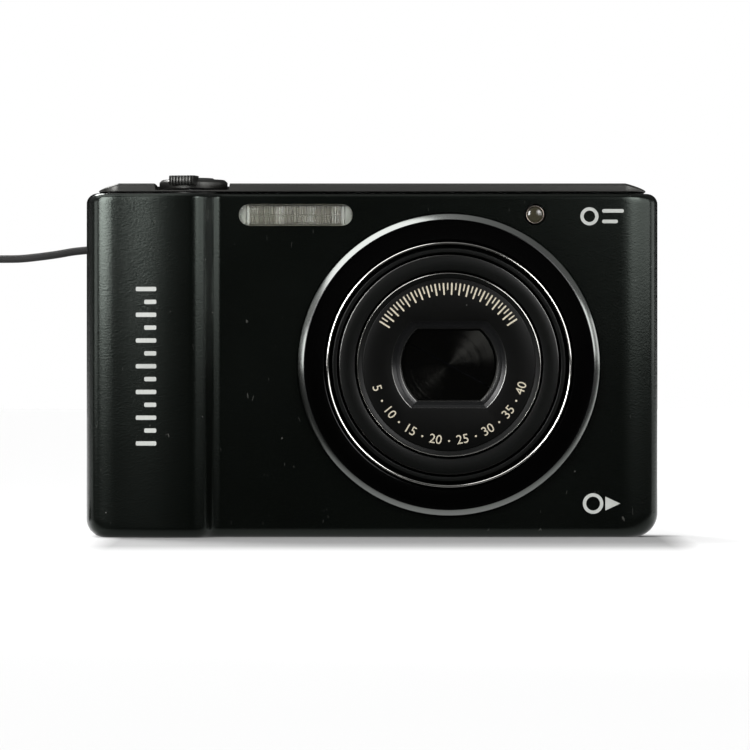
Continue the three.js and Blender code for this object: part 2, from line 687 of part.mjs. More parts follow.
// Zoom lever: a ring round the shutter button with a ribbed tab at the front
function zoomLever() {
  const low = trough.floor + gap;
  const inner = shutter.capRadius + gap;
  const ring = turn([
    [inner, low], [lever.ringRadius, low], [lever.ringRadius, lever.ringTop - lever.ringEdge],
    [lever.ringRadius - lever.ringEdge, lever.ringTop], [inner, lever.ringTop],
  ], 'Z', 0, 0);
  const base = lever.tabTop - lever.tabHeight;
  let tab = prism(plate(0, (base + lever.tabTop) / 2, lever.tabWidth, lever.tabHeight, lever.ringEdge),
    'Y', -lever.tabReach, -inner - gap);
  const pitch = lever.tabWidth / (lever.ribs + 1);
  for (let rib = 0; rib < lever.ribs; rib += 1) {
    const x = (rib - (lever.ribs - 1) / 2) * pitch;
    tab = cut(tab, block(x - pitch / 4, x + pitch / 4, -lever.tabReach - overrun,
      -lever.tabReach + lever.ribDepth, base - overrun, lever.tabTop + overrun));
  }
  return join(ring, tab).rotate([0, 0, lever.restAngle]).translate([shutter.x, shutter.y, 0]);
}

function powerButton() {
  const low = body.shellHeight - gap;
  const cap = prism(plate(power.x, power.y, power.width, power.height, power.height), 'Z', low, power.top);
  const flange = prism(plate(power.x, power.y, power.width + 2 * key.flange + gap,
    power.height + 2 * key.flange + gap, power.height), 'Z', low - key.flangeThickness, low);
  const stem = rod('Z', power.stemRadius, power.stemEnd, low - key.flangeThickness / 2, power.x, power.y);
  return join(cap, flange, stem);
}

piece('top_cover', topCover(), finishes.rear);
piece('shutter_button', shutterButton(), finishes.key);
piece('zoom_lever', zoomLever(), finishes.key);
piece('power_button', powerButton(), finishes.key);
const sb = switchBoard;
piece('switch_board', block(sb.left, sb.left + sb.width, sb.front, holder.back,
  sb.top - sb.thickness, sb.top), finishes.green);

// Lens trim and barrels, turned about the lens axis

const onLens = (profile, sides = roundSides) => turn(profile, 'Y', lens.x, lens.z, sides);

const bezelSeat = -body.faceDepth + bezel.seat - gap;
piece('lens_bezel', onLens([
  [bezel.inner, bezelSeat], [bezel.outer, bezelSeat], [bezel.outer, -body.faceDepth - bezel.dish],
  [bezel.outer - bezel.flank, -bezel.top], [bezel.inner, -bezel.top + bezel.dish],
]), finishes.metal);

const chromeOuter = chrome.inner + chrome.width;
piece('chrome_trim_ring', onLens([
  [chrome.inner, -chrome.top + chrome.length], [chromeOuter, -chrome.top + chrome.length],
  [chromeOuter, -chrome.top + chrome.crown], [chromeOuter - chrome.width / 2, -chrome.top],
  [chrome.inner, -chrome.top + chrome.crown],
]), finishes.metal);

piece('lens_base', onLens([
  [base.lightHole, base.back - base.floor], [base.bore, base.back - base.floor],
  [base.bore, -base.tubeFront], [base.tubeOuter, -base.tubeFront], [base.tubeOuter, -base.flangeFront],
  [base.flange, -base.flangeFront], [base.flange, base.back], [base.lightHole, base.back],
]), finishes.black);

piece('lens_barrel_outer', onLens([
  [barrelOuter.inner, barrelOuter.back], [barrelOuter.inner, -barrelOuter.front],
  [barrelOuter.radius - barrelOuter.lip, -barrelOuter.front],
  [barrelOuter.radius, -barrelOuter.front + barrelOuter.lip], [barrelOuter.radius, barrelOuter.back],
]), finishes.black);

// Parting line of the barrier: u runs along it down to the right, v across it up to the right
const partingTilt = THREE.MathUtils.degToRad(leaf.tilt);

function acrossLens(u, v) {
  return [
    lens.x + u * Math.cos(partingTilt) - v * Math.sin(partingTilt),
    lens.z + u * Math.sin(partingTilt) + v * Math.cos(partingTilt),
  ];
}

const leadFront = -nameRing.front + nameRing.thickness + gap;
const leafLayer = { lead: [leadFront, leadFront + leaf.thickness] };
leafLayer.trail = leafLayer.lead.map((y) => y + leaf.thickness + gap);

function innerBarrel() {
  const b = barrelInner;
  const profile = [
    [b.bore, b.back], [b.bore, b.shelf], [b.cavity, b.shelf], [b.cavity, -b.front],
    [b.radius - b.lip, -b.front], [b.radius, -b.front + b.lip], [b.radius, b.back],
  ];
  const pins = [-1, 1].map((end) => rod('Y', leaf.pin, leafLayer.lead[0], b.shelf + leaf.thickness,
    ...acrossLens(end * leaf.pivot, 0)));
  return join(onLens(profile), ...pins);
}

function frontRing() {
  const [front, back] = [-nameRing.front, -nameRing.front + nameRing.thickness];
  const disc = rod('Y', nameRing.radius, front, back, lens.x, lens.z, roundSides);
  const half = nameRing.thickness / 2;
  const wide = prism(truncatedCircle(nameRing.outerOpening, nameRing.halfShare), 'Y',
    front - overrun, front + half, 2 * curveSteps);
  const narrow = prism(truncatedCircle(opening.radius, opening.halfShare), 'Y', front,
    back + overrun, 2 * curveSteps);
  return cut(disc, wide, narrow);
}

// Barrier leaves. The upper pair turns on the pin at the upper left, and the lower pair is the same
// turned half round. An open leading leaf fits the sweep circle, so its closed outline is that
// circle turned back about the pin, and a trailing leaf closes what is left.
function barrierLeaf(kind, flip) {
  const openAngle = THREE.MathUtils.degToRad(leaf.openAngle);
  const backTurned = [
    -leaf.pivot + leaf.pivot * Math.cos(openAngle), -leaf.pivot * Math.sin(openAngle),
  ];
  const [y0, y1] = leafLayer[kind];
  const disc = (radius, u, v) => rod('Y', radius, y0, y1, u, v, leafSides);
  const wide = 2 * leaf.sweep;
  const above = block(-wide, wide, y0, y1, leaf.parting, wide);
  const swept = disc(leaf.sweep, ...backTurned);
  const inner = disc(leaf.sweep - leaf.lap, ...backTurned);
  const reach = disc(leaf.reach, 0, 0);
  const blade = kind === 'lead'
    ? reach.intersect(swept).intersect(above)
    : cut(reach, inner).intersect(above);
  const arm = new THREE.Shape();
  arm.moveTo(-leaf.pivot, leaf.parting);
  arm.lineTo(-leaf.reach + leaf.neck, leaf.parting);
  if (kind === 'lead') {
    arm.lineTo(-leaf.reach + leaf.neck, 2 * leaf.neck);
  } else {
    arm.lineTo(-leaf.reach + leaf.neck, 3 * leaf.neck);
    arm.lineTo(-leaf.reach + 2 * leaf.neck, 4 * leaf.neck);
    arm.lineTo(-leaf.reach + leaf.neck, 4 * leaf.neck);
  }
  arm.lineTo(-leaf.pivot, leaf.ear);
  const ear = disc(leaf.ear, -leaf.pivot, 0);
  const bore = rod('Y', leaf.pin + gap, y0 - overrun, y1 + overrun, -leaf.pivot, 0);
  const closed = cut(join(blade, prism(arm, 'Y', y0, y1), ear), bore);
  const turnDown = -leaf.tilt + (flip ? 180 : 0);
  return closed.rotate([0, turnDown, 0]).translate([lens.x, 0, lens.z]);
}

piece('lens_barrel_inner', innerBarrel(), finishes.black);
piece('front_ring', frontRing(), finishes.gloss);
piece('barrier_leaf_upper_lead', barrierLeaf('lead', false), finishes.darkMetal);
piece('barrier_leaf_lower_lead', barrierLeaf('lead', true), finishes.darkMetal);
piece('barrier_leaf_upper_trail', barrierLeaf('trail', false), finishes.darkMetal);
piece('barrier_leaf_lower_trail', barrierLeaf('trail', true), finishes.darkMetal);

// Optics and motor

const glassProfile = (radius, front, back, bulge) => [
  [0, front - bulge], [radius / 2, front - bulge * glass.bulgeShare], [radius, front],
  [radius, back], [0, back],
];

piece('front_lens', onLens(glassProfile(barrelInner.bore - gap, glass.frontY, glass.frontBack,
  glass.frontBulge), roundSides / 2), finishes.glass);
piece('rear_lens', onLens(glassProfile(base.lightHole - gap, base.back - glass.rearEdge, base.back,
  glass.rearBulge), smallSides), finishes.glass);
piece('image_sensor_board', block(lens.x - sensor.width / 2, lens.x + sensor.width / 2,
  holder.back - sensor.thickness, holder.back, lens.z - sensor.height / 2,
  lens.z + sensor.height / 2), finishes.green);
// The motor lies below the flange on the right, at half a right angle
const motorOut = (base.flange + motor.radius + motor.clearance) * Math.SQRT1_2;
piece('zoom_motor', rod('Y', motor.radius, motor.front, base.back - base.play,
  lens.x + motorOut,
  lens.z - motorOut), finishes.metal);

// Flash and focus lamp

const faceY = -body.faceDepth;
const windowBack = -innerFace - gap / 3;
piece('flash_window', prism(plate(flash.x, flash.z, flash.width - gap, flash.height - gap, flash.height),
  'Y', faceY, windowBack), finishes.clear);

// A trough of parabolic section, open to the front
function flashReflector() {
  const [front, depth, half] = [-innerFace + gap, flash.reflectorDepth, flash.height / 2];
  const outer = new THREE.Shape();
  const wall = flash.reflectorWall;
  outer.moveTo(front, flash.z - half - wall);
  outer.quadraticCurveTo(front + depth, flash.z - half - wall, front + depth, flash.z);
  outer.quadraticCurveTo(front + depth, flash.z + half + wall, front, flash.z + half + wall);
  outer.closePath();
  const inner = new THREE.Shape();
  inner.moveTo(front - overrun, flash.z - half);
  inner.lineTo(front, flash.z - half);
  inner.quadraticCurveTo(front + depth - wall, flash.z - half, front + depth - wall, flash.z);
  inner.quadraticCurveTo(front + depth - wall, flash.z + half, front, flash.z + half);
  inner.lineTo(front - overrun, flash.z + half);
  const reach = flash.width / 2;
  return cut(prism(outer, 'X', flash.x - reach, flash.x + reach, curveSteps),
    prism(inner, 'X', flash.x - reach + wall, flash.x + reach - wall, curveSteps));
}
piece('flash_reflector', flashReflector(), finishes.metal);
const tubeY = -innerFace + gap + flash.reflectorDepth - flash.reflectorWall - gap - flash.tubeRadius;
piece('flash_tube', rod('X', flash.tubeRadius, flash.x - flash.width / 2 + flash.reflectorWall + gap,
  flash.x + flash.width / 2 - flash.reflectorWall - gap, tubeY, flash.z, smallSides / 2), finishes.glass);
const cap = capacitor;
const capEnd = cap.left + cap.length;
piece('flash_capacitor', turn([
  [0, cap.left], [cap.radius, cap.left], [cap.radius, capEnd - 4 * cap.endGroove],
  [cap.radius - cap.endGroove, capEnd - 3 * cap.endGroove], [cap.radius, capEnd - 2 * cap.endGroove],
  [cap.radius, capEnd], [0, capEnd],
], 'X', cap.y, holder.top + gap + cap.radius, smallSides), finishes.battery);
const lampRadius = lamp.radius - gap;
piece('af_lamp_lens', turn([
  [0, faceY + gap / 2], [lampRadius / 2, faceY + gap / 2], [lampRadius, faceY + gap],
  [lampRadius, faceY + lamp.depth], [0, faceY + lamp.depth],
], 'Y', lamp.x, lamp.z, smallSides), finishes.amber);

// Power and memory

const latchRight = latch.left + latch.width;

function batteryHolder() {
  const h = holder;
  const box = block(h.left, h.right, h.front, h.back, h.bottom, h.top);
  const cell = block(chamber.left, chamber.right, chamber.front, chamber.batteryBack,
    h.bottom - overrun, h.top - h.wall);
  const slot = block(chamber.left, chamber.left + card.width + 2 * gap, chamber.cardFront,
    chamber.cardBack, h.bottom - overrun, h.bottom + 2 * gap + card.height + overrun);
  const notch = block(latch.left - gap, latchRight + gap, h.front - overrun, chamber.front + overrun,
    h.bottom - overrun, battery.bottom);
  return cut(box, cell, slot, notch);
}
piece('battery_holder', batteryHolder(), finishes.black);

piece('battery', prism(plate((chamber.left + chamber.right) / 2,
  (chamber.front + chamber.batteryBack) / 2, battery.width, battery.thickness, battery.cornerRadius),
'Z', battery.bottom, battery.bottom + battery.height), finishes.battery);

function memoryCard() {
  const x0 = chamber.left + gap;
  const z0 = holder.bottom + 2 * gap;
  const outline = new THREE.Shape();
  outline.moveTo(x0, z0);
  outline.lineTo(x0 + card.width, z0);
  outline.lineTo(x0 + card.width, z0 + card.height);
  outline.lineTo(x0 + card.corner, z0 + card.height);
  outline.lineTo(x0, z0 + card.height - card.corner);
  const y0 = (chamber.cardFront + chamber.cardBack - card.thickness) / 2;
  return prism(outline, 'Y', y0, y0 + card.thickness);
}
piece('memory_card', memoryCard(), finishes.label);

// A hook under the battery's end, on a slider in the grip
function batteryLatch() {
  const upright = block(latch.left, latchRight, latch.front, holder.front - gap, latch.hookBottom,
    latch.top);
  const hook = block(latch.left, latchRight, latch.front, chamber.front + latch.hookReach,
    latch.hookBottom, battery.bottom - gap);
  return join(upright, hook);
}
piece('battery_latch', batteryLatch(), finishes.key);

// The plate's back edge leans forward, so that it swings clear of the bottom. The lip stops short of
// the corner by the door's slide.
function batteryDoor() {
  const d = door;
  const corner = raise(backPlan(), 0, -d.front, 0, body.shellHeight);
  const section = new THREE.Shape();
  section.moveTo(-d.front, d.lift);
  section.lineTo(d.back, d.lift);
  section.lineTo(d.back - d.lipInset, d.lift + d.thickness);
  section.lineTo(-d.front, d.lift + d.thickness);
  const plateBody = corner.intersect(prism(section, 'X', -side - overrun, d.right));
  const lip = block(-side + body.bottomLeftRadius + d.slide + gap, d.right - d.lipInset,
    -d.front + d.lipInset, d.back - 2 * d.lipInset, d.lift + d.thickness / 2,
    d.lift + d.thickness + d.lipHeight);
  const bore = rod('X', d.pin + gap, -side, side, d.hingeY, d.hingeZ);
  const knuckles = knucklePlaces.map((x) => {
    const barrel = rod('X', d.knuckle, x, x + d.knuckleLength, d.hingeY, d.hingeZ);
    const arm = block(x, x + d.knuckleLength, d.back - d.lipInset, d.hingeY, d.lift, d.lift + d.thickness);
    return cut(join(barrel, arm), bore);
  });
  return join(plateBody, lip, ...knuckles);
}
piece('battery_door', batteryDoor(), finishes.rear);
const pinLeft = -innerSide + gap + door.slide;
piece('battery_door_pin', rod('X', door.pin, pinLeft, door.right - 2 * gap, door.hingeY, door.hingeZ,
  smallSides / 2), finishes.metal);

// Inner frame, boards and screen

const bushTop = bush.recess + bush.height;

function chassisPlate() {
  const c = chassis;
  const sheet = block(-innerSide + gap, innerSide - gap, c.y, c.y + c.thickness, c.bottom, c.top);
  const bushNotch = block(bush.x - bush.radius - 2 * gap, bush.x + bush.radius + 2 * gap, 0, innerBack,
    0, bushTop + gap);
  return cut(sheet, bushNotch);
}
piece('chassis', chassisPlate(), finishes.metal);
piece('main_board', block(board.left, board.right, board.y, board.y + board.thickness, bushTop + gap,
  board.top), finishes.green);
piece('lcd_panel', block(lcd.left, lcd.right, lcd.panelY, lcd.panelY + lcd.panelThickness, lcd.bottom,
  lcd.top), finishes.metal);
piece('lcd_window', prism(plate(...screenMiddle, screenSize[0] - gap, screenSize[1] - gap,
  lcd.cornerRadius), 'Y', innerBack, body.backDepth), finishes.gloss);

// Keys on the back: a cap through the cover, a flange behind it and a stem to the board

const boardFace = board.y + board.thickness;
const keyBack = innerBack - gap;
const stemEnd = boardFace + key.travel + gap / 2;

function smallKeySolid(x, z) {
  const k = smallKey;
  const cap = prism(plate(x, z, k.width, k.height, k.height), 'Y', keyBack, key.face - key.crown);
  const crown = prism(plate(x, z, k.width - key.crown, k.height - key.crown, k.height), 'Y',
    key.face - 2 * key.crown, key.face - key.crown / 2);
  const flange = prism(plate(x, z, k.width + 2 * key.flange, k.height + 2 * key.flange, k.height), 'Y',
    stemEnd, keyBack);
  return join(cap, crown, flange);
}
for (const [name, spot] of Object.entries(smallKeys)) {
  piece(name, smallKeySolid(...keySpot(spot)), finishes.key);
}

function roundKey(spot, radius, inner) {
  const rim = radius + key.flange;
  const start = inner > 0 ? inner : 0;
  return turn([
    [start, stemEnd], [rim, stemEnd], [rim, keyBack], [radius, keyBack],
    [radius, key.face - key.crown], [radius - key.crown, key.face], [start, key.face],
  ], 'Y', spot.x, spot.z, inner > 0 ? roundSides : smallSides);
}
piece('video_button', roundKey(videoKey, videoKey.radius, 0), finishes.key);
piece('direction_pad', roundKey(pad, pad.outer, pad.inner), finishes.key);
const okRadius = pad.inner - gap;
piece('ok_button', turn([
  [0, stemEnd], [okRadius, stemEnd], [okRadius, key.face - key.crown],
  [okRadius - key.crown, key.face], [0, key.face],
], 'Y', pad.x, pad.z, smallSides), finishes.key);

// Bottom and sides

piece('tripod_bush', turn([
  [bush.bore, bush.recess], [bush.radius, bush.recess], [bush.radius, bushTop], [0, bushTop],
  [0, bush.recess + bush.boreDepth], [bush.bore, bush.recess + bush.boreDepth],
  [bush.bore, bush.recess],
], 'Z', bush.x, bush.y, roundSides / 2), finishes.metal);

const pinX = -side + pocket.depth / 2;
piece('strap_pin', rod('Z', pocket.pin, pocket.z - pocket.height / 2 + gap / 2,
  pocket.z + pocket.height / 2 - gap / 2, pinX, pocket.y, smallSides / 2), finishes.metal);

function usbConnector() {
  const [z0, z1] = [usb.z - usb.width / 2, usb.z + usb.width / 2];
  const end = side - gap;
  const shell = block(end - usb.length, end, usb.front, usb.back, z0, z1);
  const mouth = block(end - usb.length * usb.mouthShare, end + overrun, usb.front + usb.wall,
    usb.back - usb.wall, z0 + usb.wall, z1 - usb.wall);
  const [tongueStart, tongueEnd] = usb.tongueShares.map((share) => end - usb.length * share);
  const tongueY = (usb.front + usb.back) / 2;
  const tongue = block(tongueEnd, tongueStart, tongueY - usb.wall, tongueY + usb.wall,
    z0 + 3 * usb.wall, z1 - 3 * usb.wall);
  return join(cut(shell, mouth), tongue);
}
piece('usb_connector', usbConnector(), finishes.metal);

function screwSolid(axis, x, y, z) {
  const [start, seat] = [screw.recess, screw.recess + screw.headThickness];
  return placeScrew([
    [0, start], [screw.head, start], [screw.head, seat], [screw.shank, seat],
    [screw.shank, screw.length], [0, screw.length],
  ], axis, x, y, z);
}
for (const [name, spot] of Object.entries(screwSpots)) {
  piece(name, screwSolid(...spot), finishes.darkMetal);
}

// Wrist cord: a free stretch down to the ground, a two-layer coil held by a tie, and a short tail

function roundSection(radius, sides) {
  const corners = [];
  for (let i = 0; i < sides; i += 1) {
    const angle = 2 * Math.PI * i / sides;
    corners.push(new THREE.Vector2(radius * Math.cos(angle), radius * Math.sin(angle)));
  }
  return new THREE.Shape(corners);
}

function tube(points, sides, steps) {
  const extrudePath = new THREE.CatmullRomCurve3(points);
  return solidOf(new THREE.ExtrudeGeometry(roundSection(cord.radius, sides), { steps, extrudePath }));
}

const diameter = 2 * cord.radius;
const routePoints = cordRoute.map(([out, y, share]) => new THREE.Vector3(
  -side - out, y, THREE.MathUtils.lerp(cord.lowLayer, pocket.z, share)));
const coilX = routePoints[routePoints.length - 1].x - cord.outerTurn;
const tailPoints = tailRoute.map(([y, z]) => new THREE.Vector3(coilX - cord.outerTurn, y, z));

// The turns spiral in on the ground layer and out again on the layer above, and the cord climbs
// in the half turn round the middle. Each end runs straight for one diameter.
function coilPoints() {
  const total = 2 * cord.turnsPerLayer;
  const count = total * stepsPerTurn;
  const points = [new THREE.Vector3(coilX + cord.outerTurn, cord.coilY - diameter, cord.lowLayer)];
  for (let i = 0; i <= count; i += 1) {
    const turned = i / stepsPerTurn;
    const fromMiddle = turned - cord.turnsPerLayer;
    const radius = cord.outerTurn - cord.pitch * (cord.turnsPerLayer - Math.abs(fromMiddle));
    const climb = THREE.MathUtils.smoothstep(fromMiddle, -1 / 4, 1 / 4);
    const angle = 2 * Math.PI * turned;
    points.push(new THREE.Vector3(coilX + radius * Math.cos(angle),
      cord.coilY + radius * Math.sin(angle), cord.lowLayer + cord.pitch * climb));
  }
  const last = points[points.length - 1];
  points.push(new THREE.Vector3(last.x, last.y - diameter, last.z));
  return points;
}

// Least gap between turns, over pairs of points more than a third of a turn apart
function leastGap(points) {
  let least = Infinity;
  for (let i = 0; i < points.length; i += 1) {
    for (let j = i + stepsPerTurn / 3; j < points.length; j += 1) {
      least = Math.min(least, points[i].distanceTo(points[j]));
    }
  }
  return least - diameter;
}

const coil = coilPoints();
console.log(`least gap between the cord's turns: ${leastGap(coil).toFixed(2)} mm`);
piece('strap_cord', tube(routePoints, cordSides, 2 * cordRoute.length), finishes.cord);
piece('strap_coil', tube(coil, coilSides, coil.length - 1), finishes.cord);
piece('strap_tail', tube(tailPoints, cordSides, tailRoute.length), finishes.cord);

// The tie goes round the turns where both layers lie one above the other
function strapTie() {
  const near = cord.outerTurn - 3 * cord.pitch / 4;
  const width = 2 * cord.pitch + diameter + 2 * gap;
  const height = cord.pitch + diameter + 2 * gap;
  const middle = [cord.coilY - near + cord.pitch, cord.tieWall + height / 2];
  const hole = plate(...middle, width, height, cord.radius);
  const wall = 2 * cord.tieWall;
  const outline = plate(...middle, width + wall, height + wall, cord.radius + cord.tieWall);
  const [from, to] = [coilX - cord.tieWidth / 2, coilX + cord.tieWidth / 2];
  return cut(prism(outline, 'X', from, to), prism(hole, 'X', from - overrun, to + overrun));
}
piece('strap_tie', strapTie(), finishes.black);

const tailEnd = tailPoints[tailPoints.length - 1];
function ferrule() {
  const back = tailEnd.y - gap;
  const front = back - cord.ferruleLength;
  const crimp = cord.ferruleRadius - cord.radius / 3;
  return turn([
    [0, front], [crimp, front], [cord.ferruleRadius, front + cord.radius],
    [cord.ferruleRadius, back - diameter],
    [crimp, back - diameter], [crimp, back], [0, back],
  ], 'Y', tailEnd.x, tailEnd.z, smallSides / 2);
}
piece('strap_ferrule', ferrule(), finishes.darkMetal);

export default group;
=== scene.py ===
import math

import bmesh
import bpy
import numpy as np
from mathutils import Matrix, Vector


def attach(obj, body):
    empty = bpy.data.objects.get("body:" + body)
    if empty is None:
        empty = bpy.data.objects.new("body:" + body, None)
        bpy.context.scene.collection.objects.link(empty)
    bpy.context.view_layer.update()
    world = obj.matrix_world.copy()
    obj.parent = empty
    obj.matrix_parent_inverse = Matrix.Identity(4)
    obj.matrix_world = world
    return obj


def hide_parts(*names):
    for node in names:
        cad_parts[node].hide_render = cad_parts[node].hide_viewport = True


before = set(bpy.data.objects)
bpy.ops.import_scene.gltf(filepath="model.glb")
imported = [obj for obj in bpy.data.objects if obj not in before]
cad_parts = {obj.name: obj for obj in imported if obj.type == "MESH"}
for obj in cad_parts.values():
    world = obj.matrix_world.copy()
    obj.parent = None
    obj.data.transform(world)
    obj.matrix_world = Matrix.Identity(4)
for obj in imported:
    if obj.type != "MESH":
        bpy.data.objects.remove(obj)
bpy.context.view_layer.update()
mm = 0.001

# Camera, floor and lights. Lengths are in millimetres and are turned into metres where a thing is made.

viewer = dict(x=0.46, y=-800, z=26.9, halfFrame=62.3, faceDistance=795, nearest=10, farthest=20000)
lamps = dict(
    left=dict(at=(-168, -234, 120), size=(118, 140), facing=(0.6, 0.8), watts=0.63),
    leftLow=dict(at=(-250, -110, 60), size=(90, 70), facing=(1, 0.3), watts=0.045),
    upperRight=dict(at=(108, -265, 119), size=(90, 90), facing=(-0.4, 0.9), watts=0.05),
    highRight=dict(at=(150, -236, 155), size=(100, 100), facing=(-0.55, 0.83), watts=0.16),
    right=dict(at=(205, -185, 100), size=(300, 110), facing=(-0.75, 0.66), watts=0.24),
    rightLow=dict(at=(285, 25, 75), size=(110, 90), facing=(-1, -0.1), watts=0.045),
)
suns = dict(
    frontSun=dict(towards=(-0.5, -0.3, 0.81), strength=1.1, spread=50),
    backSun=dict(towards=(-0.4, 0.5, 0.77), strength=3.0, spread=24),
)
surround = dict(level=0.4, seenLevel=1.0, side=0.4, faceOn=0.003, lowShare=0.2, rightShare=0.4,
                fromSquareY=0.1, toSquareY=0.75, fromZ=-0.05, toZ=0.5, fromX=-0.3, toX=0.6)
# seenShade darkens the floor for the camera alone, which deepens the painted shadow in front
floorLevels = dict(half=3000, rough=0.9, shade=0.5, seenShade=0.34, seen=0.5, aside=0.27, frontShade=0.02,
                   nearY=-3, farY=-16)
# The zone in front where the floor's white light is left out paints a shadow there; the glow to the right is
# painted light that takes out the lamps' shadow
paintedShadowZone = dict(midX=3, halfX=44, softX=5, nearY=-48, farY=-80, backY=4, rightX=50, farX=70, rightPaintedLight=0.25)


# A socket takes a plain value, or a link from another node's output
def feed(tree, socket, value):
    if isinstance(value, bpy.types.NodeSocket):
        tree.links.new(value, socket)
    else:
        socket.default_value = value


# A node with its settings, and its inputs by name, with _ where the name has a blank
def newNode(tree, kind, **values):
    node = tree.nodes.new(kind)
    for name, value in values.items():
        if hasattr(node, name):
            setattr(node, name, value)
        else:
            feed(tree, node.inputs[name.replace("_", " ")], value)
    return node


def maths(tree, operation, *values):
    node = newNode(tree, "ShaderNodeMath", operation=operation)
    for socket, value in zip(node.inputs, values):
        feed(tree, socket, value)
    return node.outputs[0]


def product(tree, first, *others):
    for value in others:
        first = maths(tree, "MULTIPLY", first, value)
    return first


# A range of a value stretched onto another range, and held at both ends
def ranged(tree, value, low, high, toLow=0.0, toHigh=1.0):
    return newNode(tree, "ShaderNodeMapRange", Value=value, From_Min=low, From_Max=high, To_Min=toLow,
                   To_Max=toHigh).outputs[0]


# a where the factor is 0, b where it is 1
def mixed(tree, factor, a, b, data="RGBA"):
    return newNode(tree, "ShaderNodeMix", data_type=data, Factor=factor, A=a, B=b).outputs["Result"]


def place(tree, kind="Object"):
    return newNode(tree, "ShaderNodeTexCoord").outputs[kind]


def axesOf(tree, vector):
    return newNode(tree, "ShaderNodeSeparateXYZ", Vector=vector).outputs


def bumped(tree, height, strength, distance):
    node = newNode(tree, "ShaderNodeBump", Strength=strength, Distance=distance * mm, Height=height)
    return node.outputs[0]


def newMaterial(name):
    material = bpy.data.materials.new(name)
    material.use_nodes = True
    tree = material.node_tree
    return material, tree, tree.nodes["Principled BSDF"].inputs


def placed(name, data):
    thing = bpy.data.objects.new(name, data)
    bpy.context.scene.collection.objects.link(thing)
    return thing


def makeCamera():
    data = bpy.data.cameras.new("photoCamera")
    data.angle = 2 * math.atan(viewer["halfFrame"] / viewer["faceDistance"])
    data.clip_start, data.clip_end = viewer["nearest"] * mm, viewer["farthest"] * mm
    camera = placed("photoCamera", data)
    camera.location = [viewer[k] * mm for k in "xyz"]
    camera.rotation_euler = (math.pi / 2, 0, 0)
    bpy.context.scene.camera = camera
    bpy.context.scene.view_settings.view_transform = "Standard"


# Which rays are metal's or gloss's, and which come from the camera or through glass
def rayMasks(tree):
    path = newNode(tree, "ShaderNodeLightPath").outputs
    return path["Is Glossy Ray"], maths(tree, "MAXIMUM", path["Is Camera Ray"], path["Is Transmission Ray"])


# The world is white to the camera. Gloss sees it brightest to the sides and above, and dark face on:
# its level falls with the square of the direction's Y part, rises with its Z part and falls with X.
def makeWorld():
    s = surround
    world = bpy.data.worlds.new("paleSurround")
    world.use_nodes = True
    bpy.context.scene.world = world
    tree = world.node_tree
    glossy, seen = rayMasks(tree)
    parts = axesOf(tree, place(tree, "Generated"))
    square = maths(tree, "MULTIPLY", parts["Y"], parts["Y"])
    gloss = product(tree, ranged(tree, square, s["fromSquareY"], s["toSquareY"], s["side"], s["faceOn"]),
                    ranged(tree, parts["Z"], s["fromZ"], s["toZ"], s["lowShare"], 1.0),
                    ranged(tree, parts["X"], s["fromX"], s["toX"], 1.0, s["rightShare"]))
    level = mixed(tree, glossy, s["level"], gloss, "FLOAT")
    background = tree.nodes["Background"].inputs
    feed(tree, background["Color"], (1, 1, 1, 1))
    feed(tree, background["Strength"], mixed(tree, seen, level, s["seenLevel"], "FLOAT"))


